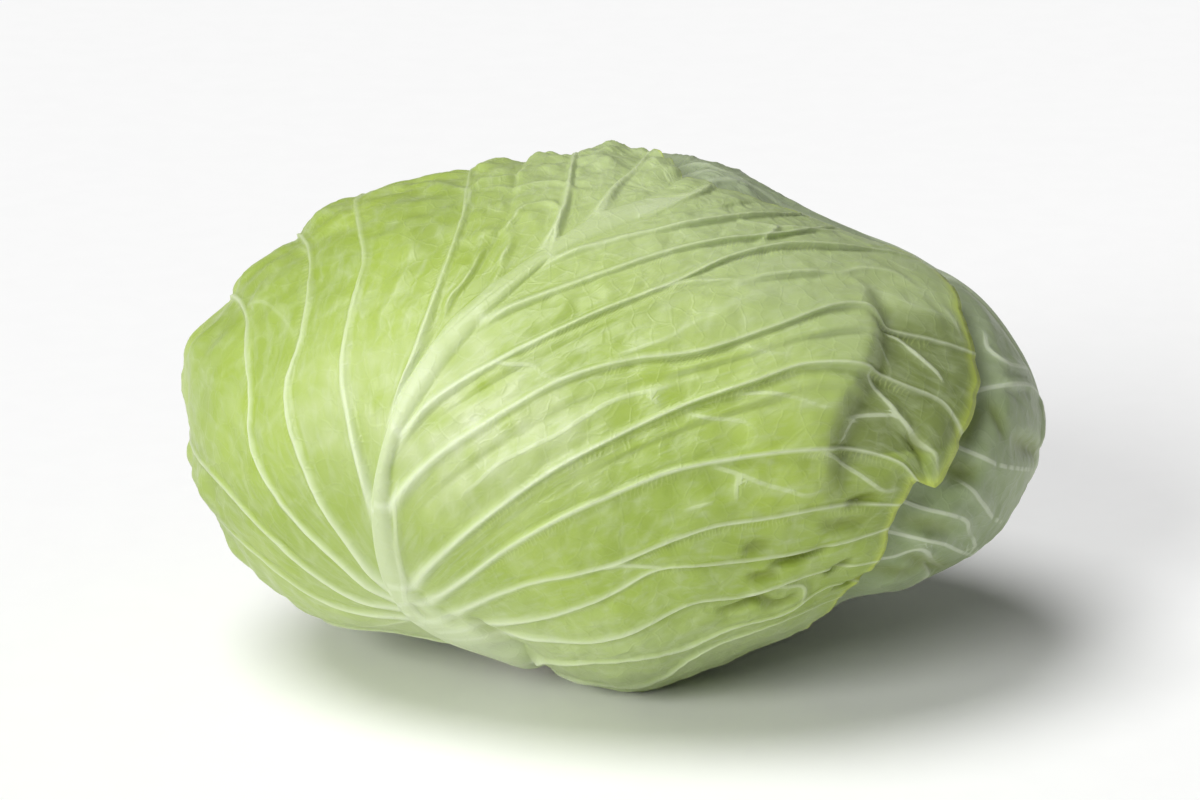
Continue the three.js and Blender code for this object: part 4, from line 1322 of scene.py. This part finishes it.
@dataclass(frozen=True)
class LeafFinish:
    """Waxy leaf skin: pale ribs, a yellow-green blade and a thin bloom, with painted shade past the
    fold and in the creases, a painted highlight in the pale patches and a painted sheen on the
    upper faces.
    """

    name: str
    blade: Colour = (0.335, 0.445, 0.07)
    blade_shade: Colour = (0.28, 0.38, 0.06)
    rib: Colour = (0.64, 0.71, 0.50)
    foot: Colour = (0.62, 0.68, 0.46)
    margin: Colour = (0.48, 0.58, 0.08)
    # Painted shade for the sunk creases and pockets
    crease: Colour = (0.17, 0.22, 0.02)
    comb: Colour = (0.50, 0.61, 0.20)
    bloom: Colour = (0.47, 0.54, 0.35)
    roughness: float = 0.38
    subsurface: float = 0.15
    # Share of the bloom with painted sheen on the faces turned up
    bloom_and_sheen_share: float = 0.5
    # Painted shade: the darker olive painted over the blade past the fold
    fold_shade: Colour = (0.16, 0.20, 0.06)
    fold_shade_share: float = 0.8
    thread_share: float = 0.32

    def material(self) -> bpy.types.Material:
        """Builds the material's nodes."""
        made = bpy.data.materials.new(self.name)
        made.use_nodes = True
        tree = NodeSketch(made.node_tree)
        shader = tree.named("Principled BSDF")
        spots = tree.add("ShaderNodeTexCoord").outputs["Object"]
        mottle = tree.noise(spots, 90.0, 4.0)
        net = tree.net(spots, 150.0)
        streaks = tree.span(tree.streaks(), 0.45, 0.72)
        vein, past = tree.value("vein"), tree.value("past")
        thread = tree.times(tree.thread(), tree.span(vein, 0.15, 0.65))
        stripes = tree.times(tree.stripes(spots), tree.value("comb"))
        broad = tree.span(tree.noise(spots, 16.0, 3.0), 0.35, 0.65)
        colour = tree.mix(broad, self.blade, self.blade_shade)
        layers = (
            (tree.span(mottle, 0.35, 0.75), 0.12, self.bloom),
            # Bloom with painted sheen on the faces turned up and to the right, and towards the
            # bottom
            (tree.value("top"), self.bloom_and_sheen_share, self.bloom),
            # Painted shade past the fold
            (past, self.fold_shade_share, self.fold_shade),
            (streaks, 0.22, self.bloom),
            (net, 0.03, self.rib),
            (tree.value("link"), 0.75, self.rib),
            (vein, 0.2, self.rib),
            (thread, self.thread_share, self.rib),
            # Threads painted paler inside the painted shade past the fold
            (tree.times(thread, past), 0.4, self.rib),
            (tree.value("edge"), 0.8, self.margin),
            # Pale foot, with the painted highlight of the pale patches
            (tree.value("foot"), 0.75, self.foot),
            (stripes, 0.35, self.comb),
            (tree.value("pale"), 0.85, self.rib),
            # Painted shade in the creases and pockets
            (tree.value("crease"), 0.6, self.crease),
        )
        for where, share, tint in layers:
            colour = tree.mix(tree.times(where, share), colour, tint)
        tree.join(colour, shader.inputs["Base Color"])
        settings = {"Roughness": self.roughness, "Subsurface Weight": self.subsurface,
                    "Subsurface Radius": (0.9, 1.0, 0.35), "Subsurface Scale": 0.004,
                    "Sheen Weight": 0.03, "Sheen Roughness": 0.5, "Specular IOR Level": 0.32}
        for key, setting in settings.items():
            shader.inputs[key].default_value = setting
        height = tree.times(net, 0.25)
        for part, share in ((tree.noise(spots, 420.0, 3.0), 0.35), (mottle, 0.4), (stripes, 0.3),
                            (streaks, 0.3), (thread, 0.7)):
            height = tree.plus(height, tree.times(part, share))
        relief = tree.add("ShaderNodeBump")
        relief.inputs["Strength"].default_value = 0.35
        relief.inputs["Distance"].default_value = 0.0006
        tree.join(height, relief.inputs["Height"])
        tree.join(relief.outputs["Normal"], shader.inputs["Normal"])
        return made


class NodeSketch:
    """Short ways to lay out shader nodes."""

    def __init__(self, tree: bpy.types.NodeTree) -> None:
        """Holds the tree that nodes are added to."""
        self.tree = tree

    def add(self, kind: str) -> bpy.types.Node:
        """Adds a node."""
        return self.tree.nodes.new(kind)

    def named(self, name: str) -> bpy.types.Node:
        """The node of that name."""
        return self.tree.nodes[name]

    def join(self, source: Socket, target: Socket) -> None:
        """Links two sockets."""
        self.tree.links.new(source, target)

    def value(self, name: str) -> Socket:
        """A value that the mesh carries."""
        node = self.add("ShaderNodeAttribute")
        node.attribute_name = name
        return node.outputs["Fac"]

    def noise(self, spots: Socket, scale: float, detail: float) -> Socket:
        """Noise over places."""
        node = self.add("ShaderNodeTexNoise")
        node.inputs["Scale"].default_value = scale
        node.inputs["Detail"].default_value = detail
        self.join(spots, node.inputs["Vector"])
        return node.outputs["Fac"]

    def net(self, spots: Socket, scale: float) -> Socket:
        """A fine net of veins, 1 along its threads."""
        wander = self.add("ShaderNodeTexNoise")
        wander.inputs["Scale"].default_value = scale * 0.8
        self.join(spots, wander.inputs["Vector"])
        moved = self.add("ShaderNodeVectorMath")
        moved.operation = "MULTIPLY_ADD"
        moved.inputs[1].default_value = (0.004, 0.004, 0.004)
        self.join(wander.outputs["Color"], moved.inputs[0])
        self.join(spots, moved.inputs[2])
        cells = self.add("ShaderNodeTexVoronoi")
        cells.feature = "DISTANCE_TO_EDGE"
        cells.inputs["Scale"].default_value = scale
        self.join(moved.outputs["Vector"], cells.inputs["Vector"])
        return self.span(cells.outputs["Distance"], 0.09, 0.0)

    def spread(self) -> Socket:
        """The place on the leaf's own map, across its ribs and along them."""
        node = self.add("ShaderNodeUVMap")
        node.uv_map = "leaf"
        return node.outputs["UV"]

    def thread(self) -> Socket:
        """1 along the middles of the veins, from how far beside them a place is."""
        return self.span(self.maths("ABSOLUTE", self.value("beside")), 0.62, 0.22)

    def streaks(self, across: float = 380.0, along: float = 22.0) -> Socket:
        """Noise drawn out along a leaf's ribs."""
        drawn = self.add("ShaderNodeVectorMath")
        drawn.operation = "MULTIPLY"
        drawn.inputs[1].default_value = (across, along, 1.0)
        self.join(self.spread(), drawn.inputs[0])
        return self.noise(drawn.outputs["Vector"], 1.0, 3.0)

    def stripes(self, spots: Socket, count: float = 900.0) -> Socket:
        """Thin uneven stripes across a leaf's ribs, 1 on the stripes."""
        parts = self.add("ShaderNodeSeparateXYZ")
        self.join(self.spread(), parts.inputs[0])
        turned = self.plus(self.times(parts.outputs["Y"], count),
                           self.times(self.noise(spots, 110.0, 3.0), 26.0))
        patchy = self.span(self.noise(spots, 45.0, 2.0), 0.4, 0.6)
        return self.times(self.span(self.maths("SINE", turned), 0.0, 1.0), patchy)

    def span(self, value: Socket, low: float, high: float) -> Socket:
        """A value stretched from low and high to 0 and 1."""
        node = self.add("ShaderNodeMapRange")
        node.interpolation_type = "SMOOTHSTEP"
        node.inputs["From Min"].default_value = low
        node.inputs["From Max"].default_value = high
        self.join(value, node.inputs["Value"])
        return node.outputs["Result"]

    def maths(self, operation: str, *values: Socket | float) -> Socket:
        """One step of arithmetic on values that are sockets or numbers."""
        node = self.add("ShaderNodeMath")
        node.operation = operation
        for value, socket in zip(values, node.inputs):
            if isinstance(value, float):
                socket.default_value = value
            else:
                self.join(value, socket)
        return node.outputs["Value"]

    def times(self, a: Socket, b: Socket | float) -> Socket:
        """The product of two values."""
        return self.maths("MULTIPLY", a, b)

    def plus(self, a: Socket, b: Socket | float) -> Socket:
        """The sum of two values."""
        return self.maths("ADD", a, b)

    def mix(self, share: Socket, first: object, second: object) -> Socket:
        """A mix of two colours, each a socket or three numbers."""
        node = self.add("ShaderNodeMix")
        node.data_type = "RGBA"
        self.join(share, node.inputs["Factor"])
        for colour, socket in ((first, node.inputs[6]), (second, node.inputs[7])):
            if isinstance(colour, tuple):
                socket.default_value = (*colour, 1.0)
            else:
                self.join(colour, socket)
        return node.outputs[2]


@dataclass(frozen=True)
class PlainFinish:
    """A plain finish with a soft mottle, for the heart, the stem's cut and the floor."""

    name: str
    colour: Colour
    second: Colour
    scale: float = 60.0
    roughness: float = 0.6

    def material(self) -> bpy.types.Material:
        """Builds the material's nodes."""
        made = bpy.data.materials.new(self.name)
        made.use_nodes = True
        tree = NodeSketch(made.node_tree)
        shader = tree.named("Principled BSDF")
        spots = tree.add("ShaderNodeTexCoord").outputs["Object"]
        mottle = tree.span(tree.noise(spots, self.scale, 4.0), 0.3, 0.7)
        tree.join(tree.mix(mottle, self.colour, self.second), shader.inputs["Base Color"])
        shader.inputs["Roughness"].default_value = self.roughness
        return made


@dataclass(frozen=True)
class StemStub:
    """The cut stub of the stem, in the hollow of the base: a short cone with rings in its cut."""

    form: HeadForm
    top: float = 58.5
    end: float = 79.0
    clearance: float = 0.9
    chamfer: float = 1.0
    sides: int = 96
    ring_share: float = 0.72
    ring_depth: float = 0.5
    pith_share: float = 0.45

    def radius(self, along: float) -> float:
        """Radius inside the cone of leaf bases, at a distance from the head's middle."""
        return along * math.tan(math.radians(STEM_CONE_DEG)) - self.clearance

    def build(self, finish: PlainFinish) -> bpy.types.Object:
        """Models the stub as a cone, bevels it and cuts rings in its end.

        Args:
            finish: The cut's finish.

        Returns:
            The finished object.
        """
        waist = (self.top + self.end) / 2
        cut = self.radius(waist)
        profile = [(self.radius(self.top), self.top), (cut, waist), (cut, self.end)]
        bpy.ops.object.select_all(action="DESELECT")
        bpy.ops.mesh.primitive_cylinder_add(vertices=self.sides, radius=1.0, depth=2.0)
        piece = bpy.context.active_object
        piece.name = "stem_stub"
        bpy.ops.object.mode_set(mode="EDIT")
        bpy.ops.mesh.select_all(action="DESELECT")
        bpy.ops.object.mode_set(mode="OBJECT")
        for face in piece.data.polygons:
            face.select = face.normal.z > 0.9
        bpy.ops.object.mode_set(mode="EDIT")
        for share in (1.0 - self.ring_share, 1.0 - self.pith_share / self.ring_share, 0.5):
            bpy.ops.mesh.inset(thickness=share * 0.5, depth=0.0)
        bpy.ops.object.mode_set(mode="OBJECT")
        places = np.array([v.co for v in piece.data.vertices])
        away = np.hypot(places[:, 0], places[:, 1])
        at_end = places[:, 2] > 0
        height = np.where(at_end, profile[2][1], profile[0][1])
        wide = np.where(at_end, profile[2][0], profile[0][0])
        turn = np.arctan2(places[:, 1], places[:, 0])
        grain = 0.25 * np.sin(turn * 9.0) + 0.2 * np.sin(turn * 23.0 + 1.0)
        sunk = np.where(at_end & (away < 0.95), self.ring_depth * (0.6 + grain), 0.0)
        side = unit(np.stack([places[:, 0], places[:, 1]], axis=1)) * (away * wide)[:, None]
        spots = RIGHTWARD * side[:, :1] + FRONTWARD * side[:, 1:]
        spots = (spots + STEM_AXIS * (height - sunk)[:, None] + self.form.middle()) * MM
        piece.data.vertices.foreach_set("co", spots.astype(np.float32).ravel())
        piece.data.update()
        self.bevel(piece)
        piece.data.materials.append(finish.material())
        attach(piece, "root")
        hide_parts("stem")
        return piece

    def bevel(self, piece: bpy.types.Object) -> None:
        """Rounds the stub's rims."""
        rounding = piece.modifiers.new("rounding", "BEVEL")
        rounding.width = self.chamfer * MM
        rounding.segments = 3
        rounding.limit_method = "ANGLE"
        rounding.angle_limit = math.radians(50)
        bpy.context.view_layer.objects.active = piece
        piece.select_set(True)
        bpy.ops.object.modifier_apply(modifier=rounding.name)
        bpy.ops.object.shade_smooth_by_angle(angle=math.radians(40))
        piece.select_set(False)


@dataclass(frozen=True)
class Studio:
    """Camera, pale floor and two soft lights.

    Each light has the way to it, its spread and its share of the light that shows white as white.
    """

    form: HeadForm
    lens: float = 130.5
    sensor: float = 36.0
    floor_size: float = 14.0
    key_way: tuple[float, float, float] = (-0.34, -0.18, 0.92)
    key_spread_deg: float = 34.0
    key_share: float = 0.74
    front_way: tuple[float, float, float] = (-0.52, -0.73, 0.42)
    front_spread_deg: float = 24.0
    front_share: float = 0.64
    fill_strength: float = 0.12

    def build(self) -> None:
        """Builds the studio."""
        bpy.ops.object.select_all(action="DESELECT")
        bpy.ops.mesh.primitive_plane_add(size=self.floor_size)
        floor = bpy.context.active_object
        floor.name = "floor"
        pale = PlainFinish("pale_floor", (0.95, 0.95, 0.95), (0.96, 0.96, 0.96))
        floor.data.materials.append(pale.material())
        self.light("key", self.key_way, self.key_spread_deg, self.key_share)
        self.light("front", self.front_way, self.front_spread_deg, self.front_share)
        bpy.context.scene.view_settings.view_transform = "Standard"
        world = bpy.data.worlds.new("studio")
        world.use_nodes = True
        back = world.node_tree.nodes["Background"]
        back.inputs["Color"].default_value = (1.0, 1.0, 1.0, 1.0)
        back.inputs["Strength"].default_value = self.fill_strength
        bpy.context.scene.world = world
        data = bpy.data.cameras.new("camera")
        data.lens = self.lens
        data.sensor_width = self.sensor
        data.clip_end = 100.0
        camera = bpy.data.objects.new("camera", data)
        bpy.context.scene.collection.objects.link(camera)
        camera.location = (self.form.middle() + self.form.eye()) * MM
        camera.rotation_euler = (math.pi / 2 - VIEW_TILT, 0.0, 0.0)
        bpy.context.scene.camera = camera

    def light(self, name: str, way: tuple[float, float, float], spread_deg: float,
              share: float) -> None:
        """Adds a soft light from far away, as a share of what shows a white face as white."""
        data = bpy.data.lights.new(name, "SUN")
        data.angle = math.radians(spread_deg)
        data.energy = share * math.pi
        lamp = bpy.data.objects.new(name, data)
        bpy.context.scene.collection.objects.link(lamp)
        lamp.rotation_euler = (math.acos(way[2] / np.linalg.norm(way)), 0.0,
                               math.atan2(way[1], way[0]) + math.pi / 2)


def report(piece: bpy.types.Object) -> None:
    """Logs a finished piece and its size in faces."""
    piece.data.calc_loop_triangles()
    LOG.info("%s: %d triangles", piece.name, len(piece.data.loop_triangles))


def main() -> None:
    """Builds the leaves from the outside in, then the heart, the stem and the studio."""
    logging.basicConfig(level=logging.INFO, format="%(message)s")
    form = HeadForm()
    wrap = LeafLook()
    plans = [
        WrappingLeafPlan(form, "leaf_right", azimuth=99, width=86, reach=101, bend=-6, veins=6,
                         rows=146, column_mm=1.62, seed=11),
        WrappingLeafPlan(form, "leaf_left", azimuth=222, width=84, reach=88, bend=7, veins=6,
                         rows=108, column_mm=1.9, seed=12),
        WrappingLeafPlan(form, "leaf_under_front", azimuth=44, width=80, reach=96, bend=5, seed=13),
        WrappingLeafPlan(form, "leaf_under_back", azimuth=180, width=80, reach=104, bend=-5,
                         seed=14),
        WrappingLeafPlan(form, "leaf_crown", azimuth=312, width=78, reach=106, bend=4, seed=15),
    ]
    sheets = [FrontLeafPlan(form).sheet(), *(plan.sheet(wrap) for plan in plans)]
    dress_right_end(form, sheets[1])
    outer = LeafFinish("outer_leaf_skin")
    wrapping = LeafFinish("wrapping_leaf_skin", blade=(0.27, 0.35, 0.15),
                          blade_shade=(0.23, 0.30, 0.13), bloom=(0.38, 0.43, 0.30),
                          rib=(0.56, 0.62, 0.46), thread_share=0.7)
    for index, sheet in enumerate(sheets):
        finish = outer if index == 0 else wrapping
        report(sheet.build(sheets[:index], finish, "outer_leaf" if index == 0 else "wrapping_leaf"))
    packed = frame["nodes"]["heart"]
    packed.data.materials.clear()
    inner = PlainFinish("packed_leaves", (0.72, 0.77, 0.42), (0.62, 0.69, 0.34))
    packed.data.materials.append(inner.material())
    report(packed)
    cut = PlainFinish("cut_stem", (0.76, 0.72, 0.52), (0.62, 0.55, 0.36), scale=400.0,
                      roughness=0.75)
    report(StemStub(form).build(cut))
    Studio(form).build()


if __name__ == "__main__":
    main()
